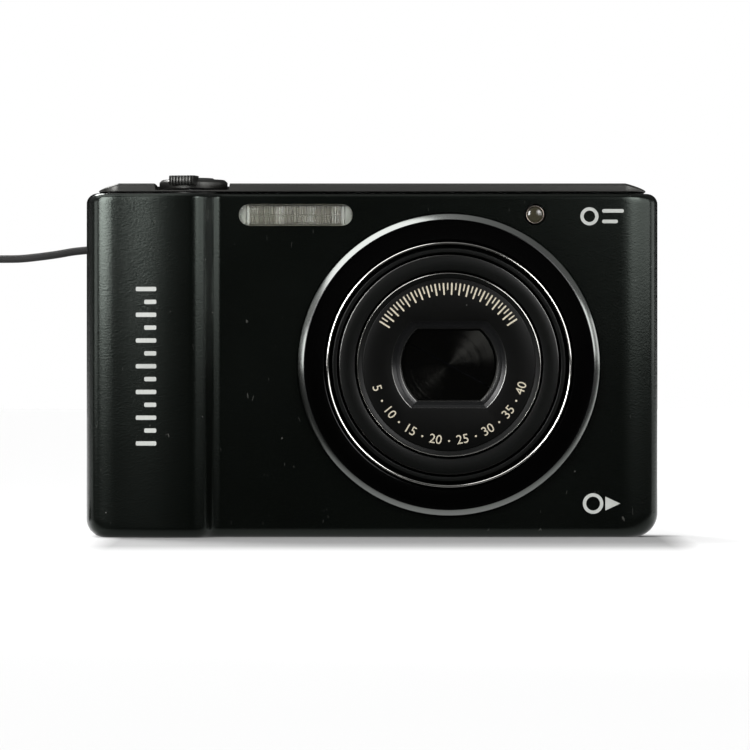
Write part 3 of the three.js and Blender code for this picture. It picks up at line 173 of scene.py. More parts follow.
# The floor is a square under the camera. Its pale shade keeps the object's shadow, and light that only the
# camera, gloss and glass see makes it white. The camera sees that light by 1 less the product of three edges
# of a zone in
# front, where the shadow shows: there the floor is a painted shadow, darker than its lamps make it, and the
# camera sees a darker shade of the floor than other rays do. More of that light to the right is painted light
# that takes out the lamps' shadow there. Gloss sees none in front of the object.
def makeFloor():
    levels, zone = floorLevels, {name: value * mm for name, value in paintedShadowZone.items()}
    half = levels["half"] * mm
    mesh = bpy.data.meshes.new("floor")
    corners = [(-half, -half, 0), (half, -half, 0), (half, half, 0), (-half, half, 0)]
    mesh.from_pydata(corners, [], [(0, 1, 2, 3)])
    floor = placed("floor", mesh)
    material, tree, shader = newMaterial("paleFloor")
    glossy, seen = rayMasks(tree)
    parts = axesOf(tree, place(tree))
    beside = ranged(tree, parts["Y"], levels["farY"] * mm, levels["nearY"] * mm)
    gloss = maths(tree, "MULTIPLY", glossy, beside)
    fromMid = maths(tree, "ABSOLUTE", maths(tree, "SUBTRACT", parts["X"], zone["midX"]))
    # Painted shadow: in this zone in front of the object the camera sees no white light, so the floor shows
    # darker than its lamps make it
    inPaintedShadow = product(tree, ranged(tree, fromMid, zone["halfX"], zone["halfX"] + zone["softX"], 1.0, 0.0),
                     ranged(tree, parts["Y"], zone["farY"], zone["nearY"]),
                     ranged(tree, parts["Y"], 0.0, zone["backY"], 1.0, 0.0))
    glow = maths(tree, "MULTIPLY", maths(tree, "SUBTRACT", 1.0, inPaintedShadow), levels["seen"])
    # Painted light: more white light to the right takes out the lamps' shadow there
    paintedLightRight = ranged(tree, parts["X"], zone["rightX"], zone["farX"], 0.0, paintedShadowZone["rightPaintedLight"])
    shown = maths(tree, "MULTIPLY", seen, maths(tree, "ADD", glow, paintedLightRight))
    aside = maths(tree, "MULTIPLY", gloss, levels["aside"])
    level = maths(tree, "MAXIMUM", shown, aside)
    light = newNode(tree, "ShaderNodeEmission", Color=(1, 1, 1, 1), Strength=level)
    shades = [[levels[name]] * 3 + [1] for name in ("shade", "seenShade", "frontShade")]
    inFront = maths(tree, "SUBTRACT", glossy, gloss)
    # The camera sees the floor in the darker seenShade, which deepens the painted shadow
    plain = mixed(tree, seen, shades[0], shades[1])
    feed(tree, shader["Base Color"], mixed(tree, inFront, plain, shades[2]))
    feed(tree, shader["Roughness"], levels["rough"])
    feed(tree, shader["Specular IOR Level"], 0)
    total = newNode(tree, "ShaderNodeAddShader")
    tree.links.new(tree.nodes["Principled BSDF"].outputs[0], total.inputs[0])
    tree.links.new(light.outputs[0], total.inputs[1])
    tree.links.new(total.outputs[0], tree.nodes["Material Output"].inputs["Surface"])
    mesh.materials.append(material)


def addLight(name, kind, strength, at, towards):
    data = bpy.data.lights.new(name, kind)
    data.energy = strength
    light = placed(name, data)
    light.location = at
    light.rotation_euler = Vector(towards).to_track_quat("-Z", "Y").to_euler()
    return data


def makeLamps():
    for name, lamp in lamps.items():
        at = [c * mm for c in lamp["at"]]
        data = addLight(name + "Lamp", "AREA", lamp["watts"], at, (*lamp["facing"], 0))
        data.shape = "RECTANGLE"
        data.size, data.size_y = [s * mm for s in lamp["size"]]
    for name, sun in suns.items():
        data = addLight(name, "SUN", sun["strength"], sun["towards"], [-c for c in sun["towards"]])
        data.angle = math.radians(sun["spread"])


makeCamera()
makeWorld()
makeFloor()
makeLamps()
print("camera, floor and lights placed")

# Mesh making. A surface is a pair of points in millimetres and faces that index them.


# Faces of a grid: each joins a point with its neighbours along the rows and the columns
def gridFaces(rows, columns, closeRows=False, closeColumns=True):
    r = np.arange(rows if closeRows else rows - 1)[:, None]
    c = np.arange(columns if closeColumns else columns - 1)[None, :]
    r2, c2 = (r + 1) % rows, (c + 1) % columns
    corners = [r * columns + c, r * columns + c2, r2 * columns + c2, r2 * columns + c]
    return np.stack(np.broadcast_arrays(*corners), -1).reshape(-1, 4).tolist()


# Puts a drawing (u, v) and a place along the axis into X, Y and Z
def onAxis(axis, u, v, along):
    order = {"X": (along, u, v), "Y": (u, along, v), "Z": (u, v, along)}[axis]
    return np.stack(np.broadcast_arrays(*order), -1)


# Loops of equal length, one after another, closed at both ends by a flat face
def loftSurface(loops):
    loops = np.asarray(loops, float)
    rows, columns = loops.shape[:2]
    first = list(range(columns))[::-1]
    last = list(range((rows - 1) * columns, rows * columns))
    return loops.reshape(-1, 3), gridFaces(rows, columns) + [first, last]


# Loops of equal length whose last one joins the first
def ringSurface(loops):
    loops = np.asarray(loops, float)
    return loops.reshape(-1, 3), gridFaces(*loops.shape[:2], closeRows=True)


# One outline (u, v) at each of some places along an axis
def prism(axis, outline, places):
    uv = np.asarray(outline, float)
    return loftSurface([onAxis(axis, uv[:, 0], uv[:, 1], float(along)) for along in places])


def around(sides):
    return np.linspace(0, 2 * math.pi, sides, endpoint=False)


def rotated(u, v, degrees):
    a = math.radians(degrees)
    return u * math.cos(a) - v * math.sin(a), u * math.sin(a) + v * math.cos(a)


# A profile of (radius, along) turned once round an axis at (u, v): the point at angle a lies at
# radius * cos a and radius * sin a from the axis. A ring's profile is closed. Ease rounds its corners.
def turned(profile, axis, at, sides, ring=False, ease=None):
    if ease:
        profile = eased(profile, *ease, closed=ring)
    profile = np.asarray(profile, float)
    angle = around(sides)
    radius, along = profile[:, :1], profile[:, 1:2]
    points = onAxis(axis, at[0] + radius * np.cos(angle), at[1] + radius * np.sin(angle), along + 0 * angle)
    return points.reshape(-1, 3), gridFaces(len(profile), sides, closeRows=ring)


# Rounds the corners of a profile: each gives way to a curve (1-t)^2 a + 2t(1-t) corner + t^2 b between
# two points that lie the radius away from it
def eased(profile, radius, steps, closed=True):
    points = np.asarray(profile, float)
    count, out = len(points), []
    t = np.linspace(0, 1, steps + 1)[:, None]
    for i, here in enumerate(points):
        if not closed and i in (0, count - 1):
            out.append(here)
            continue
        a, b = points[i - 1] - here, points[(i + 1) % count] - here
        reach = min(radius, np.hypot(*a) / 2.2, np.hypot(*b) / 2.2)
        start = here + a / max(np.hypot(*a), 1e-9) * reach
        end = here + b / max(np.hypot(*b), 1e-9) * reach
        out.extend((1 - t) ** 2 * start + 2 * t * (1 - t) * here + t ** 2 * end)
    return np.array(out)


# An outline is a function of its inset. A stadium or round rectangle: four quarter arcs.
def roundRect(u, v, width, height, radius, steps=10):
    def outline(inset=0.0):
        w, h = width / 2 - inset, height / 2 - inset
        r = max(min(radius - inset, w, h), 0.02)
        a = np.linspace(0, math.pi / 2, steps)
        parts = []
        for quarter, (su, sv) in enumerate([(1, -1), (1, 1), (-1, 1), (-1, -1)]):
            turn = a + (quarter - 1) * math.pi / 2
            across = u + su * (w - r) + r * np.cos(turn)
            parts.append(np.stack([across, v + sv * (h - r) + r * np.sin(turn)], -1))
        return np.concatenate(parts)
    return outline


def circle(u, v, radius, sides=96):
    a = around(sides)
    turn = np.stack([np.cos(a), np.sin(a)], -1)
    return lambda inset=0.0: np.array([u, v]) + (radius - inset) * turn


# A slab between two places along an axis. Its edge at the far end is a quarter round, and at the
# near end too where back is given: at angle t the outline is drawn in by r (1 - cos t). A crown is a
# low dome on top, of (how far in, how high) pairs.
def slab(outline, axis, start, end, edge=0.2, back=0.0, steps=4, crown=()):
    sign = 1 if end > start else -1
    t = np.linspace(0, math.pi / 2, steps + 1)
    levels = [(0.0, start)]
    if back > 0:
        levels = [(back * (1 - math.sin(s)), start + sign * back * (1 - math.cos(s))) for s in t]
    levels += [(edge * (1 - math.cos(s)), end - sign * edge * (1 - math.sin(s))) for s in t]
    levels += [(inset, end + sign * rise) for inset, rise in crown]
    return loftSurface([onAxis(axis, *outline(inset).T, along) for inset, along in levels])


def boxSurface(x0, x1, y0, y1, z0, z1, edge=0.08):
    outline = roundRect((x0 + x1) / 2, (z0 + z1) / 2, x1 - x0, z1 - z0, edge, 4)
    return slab(outline, "Y", y1, y0, edge=edge, back=edge, steps=2)


def block(x0, x1, y0, y1, z0, z1):
    return prism("Y", [(x0, z0), (x1, z0), (x1, z1), (x0, z1)], (y0, y1))


def bar(outline, axis, start, end):
    return prism(axis, outline(), (start, end))


def rod(axis, u, v, radius, start, end, sides=72):
    return bar(circle(u, v, radius, sides), axis, start, end)


def cleaned(mesh, weld=True):
    form = bmesh.new()
    form.from_mesh(mesh)
    if weld:
        bmesh.ops.remove_doubles(form, verts=form.verts, dist=2e-7)
        bmesh.ops.dissolve_degenerate(form, edges=form.edges, dist=1e-7)
    bmesh.ops.recalc_face_normals(form, faces=form.faces)
    form.to_mesh(mesh)
    form.free()


# Puts surfaces together as one mesh. Each is (surface, name of its finish).
def meshOf(name, surfaces):
    points, faces, slots, kinds, start = [], [], [], [], 0
    for (part, partFaces), kind in surfaces:
        if kind is not None and kind not in kinds:
            kinds.append(kind)
        points.append(np.asarray(part, float) * mm)
        faces += [[i + start for i in face] for face in partFaces]
        slots += [kinds.index(kind) if kind is not None else 0] * len(partFaces)
        start += len(part)
    mesh = bpy.data.meshes.new(name)
    mesh.from_pydata(np.concatenate(points).tolist(), [], faces)
    for kind in kinds:
        mesh.materials.append(finishes[kind])
    mesh.polygons.foreach_set("material_index", slots)
    cleaned(mesh)
    return mesh


def smoothed(mesh, angle):
    mesh.shade_smooth()
    mesh.set_sharp_from_angle(angle=math.radians(angle))


def ridden(piece, body, stands=()):
    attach(piece, body)
    if stands:
        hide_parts(*([stands] if isinstance(stands, str) else stands))
    return piece


def addPiece(name, body, surfaces, stands=(), angle=28, weighted=False):
    mesh = meshOf(name, surfaces)
    smoothed(mesh, angle)
    piece = placed(name, mesh)
    if weighted:
        weigh(piece)
    return ridden(piece, body, stands)


def meshNow(thing):
    return bpy.data.meshes.new_from_object(thing.evaluated_get(bpy.context.evaluated_depsgraph_get()))


def applied(piece):
    mesh = meshNow(piece)
    piece.modifiers.clear()
    piece.data = mesh
    return piece


def weigh(piece):  # large flat faces keep their own normals
    modifier = piece.modifiers.new("flatFaces", "WEIGHTED_NORMAL")
    modifier.keep_sharp = True
    modifier.weight = 100
    applied(piece)


def cut(*surfaces):
    return [("DIFFERENCE", surface) for surface in surfaces]


def join(*surfaces):
    return [("UNION", surface) for surface in surfaces]


# Cuts surfaces out of a solid one and joins others to it, in the order of the steps
def carved(name, surface, steps):
    piece = placed(name, meshOf(name, [(surface, None)]))
    tools = []
    for i, (kind, other) in enumerate(steps):
        tools.append(placed(name + "Tool", meshOf(name + "Tool", [(other, None)])))
        modifier = piece.modifiers.new(kind + str(i), "BOOLEAN")
        modifier.operation, modifier.object, modifier.solver = kind, tools[-1], "EXACT"
    bpy.context.view_layer.update()
    applied(piece)
    for tool in tools:
        bpy.data.objects.remove(tool)
    return piece


def addCarved(piece, body, kind, stands, angle=30):
    piece.data.materials.clear()
    piece.data.materials.append(finishes[kind])
    smoothed(piece.data, angle)
    weigh(piece)
    return ridden(piece, body, stands)


# Moves a piece's points by a function of them, in millimetres
def reshape(piece, change):
    flat = np.zeros(len(piece.data.vertices) * 3)
    piece.data.vertices.foreach_get("co", flat)
    piece.data.vertices.foreach_set("co", (change(flat.reshape(-1, 3) / mm) * mm).ravel())
    piece.data.update()


# Materials. Groups put out masks and heights; each finish has its own values.


def newGroup(name, values, outputs):
    tree = bpy.data.node_groups.new(name, "ShaderNodeTree")
    tree.interface.new_socket("Vector", in_out="INPUT", socket_type="NodeSocketVector")
    for socket, value in values.items():
        made = tree.interface.new_socket(socket, in_out="INPUT", socket_type="NodeSocketFloat")
        made.default_value = value
    for socket in outputs:
        tree.interface.new_socket(socket, in_out="OUTPUT", socket_type="NodeSocketFloat")
    return tree, tree.nodes.new("NodeGroupInput").outputs, tree.nodes.new("NodeGroupOutput").inputs


def noiseOf(tree, vector, scale, detail=2.0, roughness=0.5):
    return newNode(tree, "ShaderNodeTexNoise", Vector=vector, Scale=scale, Detail=detail,
                   Roughness=roughness).outputs[0]


# Moulded grain: three parts of a fine noise and one of a noise a seventh as fine, and coarse patches
def makeGrain():
    tree, ins, outs = newGroup("mouldedGrain", dict(Scale=2000.0), ["Height", "Patches"])
    where, scale = ins["Vector"], ins["Scale"]
    fine = noiseOf(tree, where, scale, 2, 0.6)
    coarse = noiseOf(tree, where, maths(tree, "DIVIDE", scale, 7.0), 2)
    total = maths(tree, "ADD", maths(tree, "MULTIPLY", fine, 0.75), maths(tree, "MULTIPLY", coarse, 0.25))
    feed(tree, outs["Height"], total)
    feed(tree, outs["Patches"], noiseOf(tree, where, maths(tree, "DIVIDE", scale, 60.0), 3))
    return tree


# Dust and small nicks: cells whose middle lies closer than a limit, thinned out by a noise
def makeDust():
    tree, ins, outs = newGroup("dustAndNicks", dict(Scale=290.0, Share=0.4), ["Mask"])
    cells = newNode(tree, "ShaderNodeTexVoronoi", Vector=ins["Vector"], Scale=ins["Scale"])
    near = ranged(tree, cells.outputs["Distance"], 0.036, 0.012)
    places = noiseOf(tree, ins["Vector"], maths(tree, "DIVIDE", ins["Scale"], 5.0), 1)
    feed(tree, outs["Mask"], product(tree, near, ranged(tree, places, 0.5, 0.62), ins["Share"]))
    return tree


# Turned or brushed rings round the lens axis: a sine wave and a noise of the distance from it, with a
# steady lean outward. The distance is the root of the sum of the squares of X and Z.
def makeTurning():
    tree, ins, outs = newGroup("turnedRings", dict(Pitch=0.0002, Lean=0.0), ["Height"])
    parts = axesOf(tree, ins["Vector"])
    squares = [maths(tree, "MULTIPLY", parts[k], parts[k]) for k in "XZ"]
    turns = maths(tree, "DIVIDE", maths(tree, "SQRT", maths(tree, "ADD", *squares)), ins["Pitch"])
    wave = maths(tree, "SINE", maths(tree, "MULTIPLY", turns, 2 * math.pi))
    streaks = noiseOf(tree, newNode(tree, "ShaderNodeCombineXYZ", X=turns).outputs[0], 0.37, 3, 0.7)
    total = maths(tree, "ADD", maths(tree, "MULTIPLY", wave, 0.3), streaks)
    feed(tree, outs["Height"], maths(tree, "ADD", total, maths(tree, "MULTIPLY", turns, ins["Lean"])))
    return tree


# Brushed along X: a noise stretched forty times along X
def makeBrush():
    tree, ins, outs = newGroup("brushedAlongX", dict(Scale=4000.0), ["Height"])
    squeeze = newNode(tree, "ShaderNodeMapping", Scale=(0.025, 1, 1), Vector=ins["Vector"])
    feed(tree, outs["Height"], noiseOf(tree, squeeze.outputs[0], ins["Scale"], 2))
    return tree


# Hair scratches: thin lines where a stretched noise crosses its middle, kept short by a finer one
def makeScratches():
    tree, ins, outs = newGroup("hairScratches", dict(Share=0.4), ["Mask"])
    lean = newNode(tree, "ShaderNodeMapping", Rotation=(0, 0.25, 0), Scale=(1, 1, 0.12), Vector=ins["Vector"])
    lines = noiseOf(tree, lean.outputs[0], 420.0, 1)
    middle = maths(tree, "ABSOLUTE", maths(tree, "SUBTRACT", lines, 0.5))
    places = ranged(tree, noiseOf(tree, ins["Vector"], 620.0, 1), 0.69, 0.75)
    feed(tree, outs["Mask"], product(tree, ranged(tree, middle, 0.0, 0.005, 1.0, 0.0), places, ins["Share"]))
    return tree


groups = dict(grain=makeGrain(), dust=makeDust(), scratches=makeScratches(), rings=makeTurning(),
              brush=makeBrush())
lensAxis = (12.7, 28.6)


def grouped(tree, group, **values):
    return newNode(tree, "ShaderNodeGroup", node_tree=groups[group], **values).outputs


# A finish: colour and roughness spread round their middle by the patches of the grain, with light dust
# and pale scratches over the colour, a tint for the gloss, and a bump from the grain, rings or brushing
def finish(name, color, rough, metal=0.0, grain=2500, bump=0.1, depth=0.02, spread=0.12, dust=0.0, coat=0.0,
           coatRough=0.08, specular=0.5, rings=None, lean=0.0, brush=None, roughSpread=0.06, glass=0.0,
           ior=1.5, scratches=0.0, tint=(1, 1, 1)):
    material, tree, shader = newMaterial(name)
    where = place(tree)
    speckle = grouped(tree, "grain", Scale=grain, Vector=where)
    height, patches = speckle["Height"], speckle["Patches"]
    if rings:
        toAxis = (-lensAxis[0] * mm, 0, -lensAxis[1] * mm)
        centred = newNode(tree, "ShaderNodeMapping", Location=toAxis, Vector=where).outputs[0]
        height = grouped(tree, "rings", Pitch=rings * mm, Lean=lean, Vector=centred)["Height"]
    if brush:
        height = grouped(tree, "brush", Scale=brush, Vector=where)["Height"]
    low, high = [[min(c * share, 1) for c in color] + [1] for share in (1 - spread, 1 + spread)]
    paint = mixed(tree, patches, low, high)
    if dust:
        specks = grouped(tree, "dust", Share=dust, Vector=where)["Mask"]
        paint = mixed(tree, specks, paint, (0.32, 0.32, 0.3, 1))
    if scratches:
        hairs = grouped(tree, "scratches", Share=scratches, Vector=where)["Mask"]
        paint = mixed(tree, hairs, paint, (0.12, 0.12, 0.11, 1))
    worn = ranged(tree, patches, 0.0, 1.0, max(rough - roughSpread, 0.02), min(rough + roughSpread, 1))
    sockets = {"Metallic": metal, "Coat Weight": coat, "Coat Roughness": coatRough,
               "Specular IOR Level": specular, "Transmission Weight": glass, "IOR": ior,
               "Specular Tint": (*tint, 1), "Base Color": paint, "Roughness": worn,
               "Normal": bumped(tree, height, bump, depth)}
    for socket, value in sockets.items():
        feed(tree, shader[socket], value)
    return material


finishes = dict(
    shell=finish("satinBlackShell", (0.0005, 0.0008, 0.0005), 0.2, grain=3000, bump=0.8, depth=0.022,
                 tint=(0.88, 1, 0.91), dust=0.5, roughSpread=0.03, scratches=0.5),
    rear=finish("mattBlackMoulding", (0.009, 0.0094, 0.009), 0.5, grain=6500, bump=0.3),
    cover=finish("brushedGreyCover", (0.06, 0.06, 0.057), 0.36, metal=0.85, brush=5000, bump=0.18),
    gloss=finish("pianoBlack", (0.0003, 0.0003, 0.0003), 0.13, grain=300, bump=0.02, roughSpread=0.02,
                 specular=0.4),
    chamfer=finish("cutAluminium", (0.36, 0.375, 0.36), 0.2, metal=1.0, rings=0.11, depth=0.008),
    chrome=finish("brightChrome", (0.8, 0.79, 0.75), 0.1, metal=1.0, grain=900, bump=0.02, roughSpread=0.03),
    barrel=finish("anodisedBarrel", (0.0012, 0.0015, 0.0012), 0.32, rings=0.24, bump=0.12, depth=0.01,
                  dust=0.3, specular=0.3),
    nameRing=finish("satinNameRing", (0.001, 0.0011, 0.0009), 0.34, rings=0.16, depth=0.008, dust=0.35,
                    specular=0.2),
    leaf=finish("spunBarrierLeaf", (0.05, 0.05, 0.046), 0.13, metal=1.0, rings=0.13, lean=-0.12, bump=0.35,
                depth=0.03, dust=0.4, spread=0.02, roughSpread=0.01),
    flank=finish("satinFlank", (0.004, 0.0042, 0.0044), 0.22, grain=1800, depth=0.005, specular=0.4),
    key=finish("satinKey", (0.03, 0.031, 0.031), 0.36, metal=0.3, grain=4200, bump=0.12, depth=0.012),
    screen=finish("screenGlass", (0.004, 0.0045, 0.0055), 0.05, grain=200, bump=0.01, coat=0.6,
                  coatRough=0.03, roughSpread=0.01),
    picture=finish("darkPictureArea", (0.011, 0.0125, 0.016), 0.12, grain=3000, bump=0.02, coat=0.5,
                   coatRough=0.04),
    pale=finish("printedSilver", (0.36, 0.37, 0.35), 0.42, grain=5000, bump=0.25, spread=0.3),
    ink=finish("champagneInk", (0.42, 0.38, 0.29), 0.5, grain=4000, bump=0.05),
    white=finish("whiteMarking", (0.6, 0.6, 0.58), 0.5, grain=3000, bump=0.05),
    steel=finish("plainSteel", (0.5, 0.5, 0.49), 0.28, metal=1.0, grain=1500, bump=0.08),
    screwHead=finish("blackenedScrew", (0.05, 0.05, 0.052), 0.34, metal=1.0),
    brass=finish("nickelledBrass", (0.6, 0.56, 0.47), 0.3, metal=1.0, grain=1800),
    amber=finish("amberLamp", (0.03, 0.027, 0.016), 0.14, grain=700, bump=0.05, coat=0.8, coatRough=0.04),
    lampRim=finish("lampRim", (0.3, 0.26, 0.22), 0.25, metal=0.8, grain=900, bump=0.05),
    reflector=finish("flashReflector", (0.55, 0.53, 0.43), 0.3, metal=1.0, grain=900, bump=0.05),
    ribs=finish("ribbedDiffuser", (0.2, 0.19, 0.15), 0.28, grain=1500, coat=0.3),
    edging=finish("darkBrightMetal", (0.13, 0.13, 0.125), 0.22, metal=1.0, rings=0.2, bump=0.05, depth=0.005),
    diffuser=finish("flashEnd", (0.42, 0.43, 0.39), 0.4, grain=900, bump=0.05),
    tube=finish("flashTube", (0.75, 0.78, 0.74), 0.1, grain=900, bump=0.02),
    plastic=finish("blackPlastic", (0.018, 0.018, 0.018), 0.5, grain=2800),
    clear=finish("clearWindow", (0.86, 0.87, 0.85), 0.05, grain=200, bump=0.0, glass=1.0, ior=1.45,
                 roughSpread=0.01, spread=0.01),
    # The bright bar's near-white colour is a painted highlight at the flash's ends
    glow=finish("paintedHighlightBar", (0.8, 0.81, 0.77), 0.3, grain=900, bump=0.02, spread=0.02),
    signal=finish("redDot", (0.42, 0.02, 0.015), 0.4, bump=0.08),
    lens=finish("coatedLens", (0.012, 0.014, 0.022), 0.03, grain=100, bump=0.0, coat=1.0, coatRough=0.02,
                roughSpread=0.0),
    board=finish("solderMask", (0.02, 0.09, 0.04), 0.4, grain=900, bump=0.2, spread=0.3),
    cell=finish("batterySleeve", (0.05, 0.052, 0.058), 0.42, grain=1500, bump=0.08),
    card=finish("cardCase", (0.025, 0.04, 0.09), 0.45),
    can=finish("capacitorSleeve", (0.03, 0.032, 0.04), 0.35, grain=1200, bump=0.06),
)
print("finishes made:", len(finishes))

# The wrist cord: a braided tube along the route that the CAD solids follow, its fine loop round the
# pin, its end fitting and the tie round the coil

cord = dict(radius=0.65, startTurns=6.5, coilX=-81.3, coilY=14.0, coilRadius=9.8, pitch=1.75, lowZ=1.25,
            tailX=-91.1, strands=8, lay=2.6, sides=20, step=0.5)
cordLead = np.array([
    (-47, 2.9, 47.9), (-50, 2.9, 47.6), (-53, 2.95, 47.1), (-56, 3, 46.7), (-59, 3.1, 46.4),
    (-62, 3.2, 46.35), (-65, 3.3, 46.3), (-67.7, 3.4, 45.6), (-69.7, 3.5, 43.8), (-70.9, 3.6, 41),
    (-71.4, 3.7, 37), (-71.5, 3.8, 30), (-71.5, 4, 22), (-71.5, 4.2, 14), (-71.5, 4.5, 8),
    (-71.5, 5.4, 4.2), (-71.5, 7.4, 2), (-71.5, 9.9, 1.3), (-71.5, 12.4, 1.25)], float)
cordTail = np.array([(12.4, 3), (10, 2.85), (7.5, 2.4), (5, 1.8), (2.8, 1.35), (1, 1.2)], float)


# The coil winds in and out again: at turn t its radius is the largest less the pitch times the turns
# to the nearer end. The second half lies one pitch higher, after a rise of s^2 (3 - 2s).
def coilPoints(perTurn=24):
    turns = cord["startTurns"]
    t = np.linspace(0, turns, int(turns * perTurn) + 1)
    middle = turns / 2
    radius = cord["coilRadius"] - cord["pitch"] * (middle - np.abs(t - middle))
    s = np.clip((t - middle + 0.25) / 0.5, 0, 1)
    z = cord["lowZ"] + cord["pitch"] * s * s * (3 - 2 * s)
    a = 2 * math.pi * t
    return np.stack([cord["coilX"] + radius * np.cos(a), cord["coilY"] + radius * np.sin(a), z], -1)


def cordPath():
    tail = np.array([(cord["tailX"], y, z) for y, z in cordTail])
    return np.concatenate([cordLead, coilPoints()[1:-1], tail])


def distances(route):
    return np.concatenate([[0], np.cumsum(np.linalg.norm(np.diff(route, axis=0), axis=1))])


# A smooth curve: between points b and c a cubic that also heeds their neighbours a and d, so that it
# leaves b along c - a and reaches c along d - b. Points are then taken along it at equal distances.
def smoothRoute(points, step):
    p = np.concatenate([[2 * points[0] - points[1]], points, [2 * points[-1] - points[-2]]])
    t = np.linspace(0, 1, 13)[:-1, None]
    out = []
    for a, b, c, d in zip(p[:-3], p[1:-2], p[2:-1], p[3:]):
        square, cube = 2 * a - 5 * b + 4 * c - d, 3 * b - a - 3 * c + d
        out.append(0.5 * (2 * b + (c - a) * t + square * t ** 2 + cube * t ** 3))
    dense = np.concatenate(out + [points[-1:]])
    run = distances(dense)
    places = np.linspace(0, run[-1], int(run[-1] / step) + 1)
    return np.stack([np.interp(places, run, dense[:, i]) for i in range(3)], -1), run[-1]


# Rings round a route: each has its normal carried on from the last one's, turned least, and its point
# at angle a lies radius * cos a along the normal and radius * sin a sideways
def tube(route, radius, sides):
    ahead = np.gradient(route, axis=0)
    ahead /= np.linalg.norm(ahead, axis=1)[:, None]
    normals = np.zeros_like(route)
    last = np.array([0, 0, 1.0])
    for i, direction in enumerate(ahead):
        last = last - direction * (last @ direction)
        last = last / np.linalg.norm(last)
        normals[i] = last
    sideways = np.cross(ahead, normals)[:, None]
    a = around(sides)[None, :, None]
    return loftSurface(route[:, None] + radius * (np.cos(a) * normals[:, None] + np.sin(a) * sideways))


# The braid: two sets of diagonal strands, one each way round, from the tube's own coordinates. Its
# height is the larger size of two sine waves, one of round plus along and one of round less along.
def braidFinish():
    material, tree, shader = newMaterial("braidedBlackCord")
    parts = axesOf(tree, newNode(tree, "ShaderNodeUVMap").outputs[0])
    across = maths(tree, "MULTIPLY", parts["X"], float(cord["strands"]))
    along = maths(tree, "MULTIPLY", parts["Y"], cord["strands"] / cord["lay"])
    waves = []
    for way in ("ADD", "SUBTRACT"):
        wave = maths(tree, "SINE", maths(tree, "MULTIPLY", maths(tree, way, across, along), math.pi))
        waves.append(maths(tree, "ABSOLUTE", wave))
    fuzz = noiseOf(tree, place(tree), 9000.0, 3)
    total = maths(tree, "ADD", maths(tree, "MAXIMUM", *waves), maths(tree, "MULTIPLY", fuzz, 0.35))
    # Painted shade: the colour is darkest between the strands, where the height is low, and lighter on their
    # crowns; the noise adds random tone
    paint = mixed(tree, ranged(tree, total, 0.5, 1.3), (0.003, 0.003, 0.003, 1), (0.022, 0.022, 0.021, 1))
    feed(tree, shader["Base Color"], paint)
    feed(tree, shader["Roughness"], ranged(tree, fuzz, 0.0, 1.0, 0.62, 0.78))
    feed(tree, shader["Normal"], bumped(tree, total, 0.9, 0.09))
    return material


# Across the cord: how far round. Along it: millimetres from the start. Where a face joins the last
# point of a ring to its first, the first is taken one turn on.
def tubeCoordinates(mesh, route, sides):
    run = distances(route)
    layer = mesh.uv_layers.new(name="alongCord")
    corners = np.zeros(len(mesh.loops), int)
    mesh.loops.foreach_get("vertex_index", corners)
    totals = np.zeros(len(mesh.polygons), int)
    mesh.polygons.foreach_get("loop_total", totals)
    u = (corners % sides) / sides
    v = run[np.minimum(corners // sides, len(run) - 1)]
    owner = np.repeat(np.arange(len(totals)), totals)
    highest = np.zeros(len(totals))
    np.maximum.at(highest, owner, u)
    u = np.where((highest[owner] > 0.7) & (u < 0.3) & (totals[owner] == 4), u + 1, u)
    layer.data.foreach_set("uv", np.stack([u, v], -1).ravel())


def makeCord():
    route, length = smoothRoute(cordPath(), cord["step"])
    points, faces = tube(route, cord["radius"], cord["sides"])
    mesh = bpy.data.meshes.new("wristCord")
    mesh.from_pydata((points * mm).tolist(), [], faces)
    tubeCoordinates(mesh, route, cord["sides"])
    cleaned(mesh, weld=False)
    mesh.materials.append(braid)
    smoothed(mesh, 60)
    piece = placed("wristCord", mesh)
    return ridden(piece, "camera", ("strap_cord", "strap_coil", "strap_tail")), route, length


pinLoop = dict(middle=(-46.15, 2.9, 48), radius=0.98, thread=0.4)


# The loop round the pin lies across the cord's way out: a ring about the middle of the pin
def makeLoop():
    a, b = around(48), around(12)[None, :, None]
    outward = np.stack([np.cos(a), 0 * a, np.sin(a)], -1)[:, None]
    section = np.cos(b) * outward + np.sin(b) * np.array([0, 1.0, 0])
    loops = np.array(pinLoop["middle"]) + pinLoop["radius"] * outward + pinLoop["thread"] * section
    return addPiece("strapLoop", "camera", [(ringSurface(loops), "plastic")], angle=60)


# The tie round the coil's front side
def makeTie():
    outer = roundRect(7.26, 2.125, 5.7, 3.95, 1.0)
    section = [(-82.1, 0.12), (-82.02, 0.0), (-80.58, 0.0), (-80.5, 0.12), (-80.5, 0.42), (-80.58, 0.48),
               (-82.02, 0.48), (-82.1, 0.42)]
    strip = ringSurface([onAxis("X", *outer(inset).T, x) for x, inset in section])
    buckle = boxSurface(-82.0, -80.6, 3.9, 4.6, 1.2, 3.2, 0.15)
    return addPiece("cordTie", "camera", [(strip, "plastic"), (buckle, "plastic")], "strap_tie", angle=40)


# The fitting at the cord's end has three grooves
def makeFerrule():
    profile = [(0.0, -7.3), (0.72, -7.3), (0.95, -7.15), (1.02, -6.8), (1.04, -6.5)]
    for y in (-5.4, -4.9, -4.4):
        profile += [(1.04, y - 0.15), (0.93, y - 0.08), (0.93, y + 0.08), (1.04, y + 0.15)]
    profile += [(1.04, -0.8), (1.0, -0.66), (0.92, -0.6), (0.9, 0.55), (0.8, 0.7), (0.0, 0.7)]
    surface = turned(profile, "Y", (cord["tailX"], 1.2), 48)
    return addPiece("cordFerrule", "camera", [(surface, "screwHead")], "strap_ferrule")


braid = braidFinish()
wristCord, cordRoute, cordLength = makeCord()
strapLoop, cordTie, cordFerrule = makeLoop(), makeTie(), makeFerrule()
print("cord made:", round(float(cordLength)), "mm")

# The shells have the CAD shells' plan and rounding, in finer steps

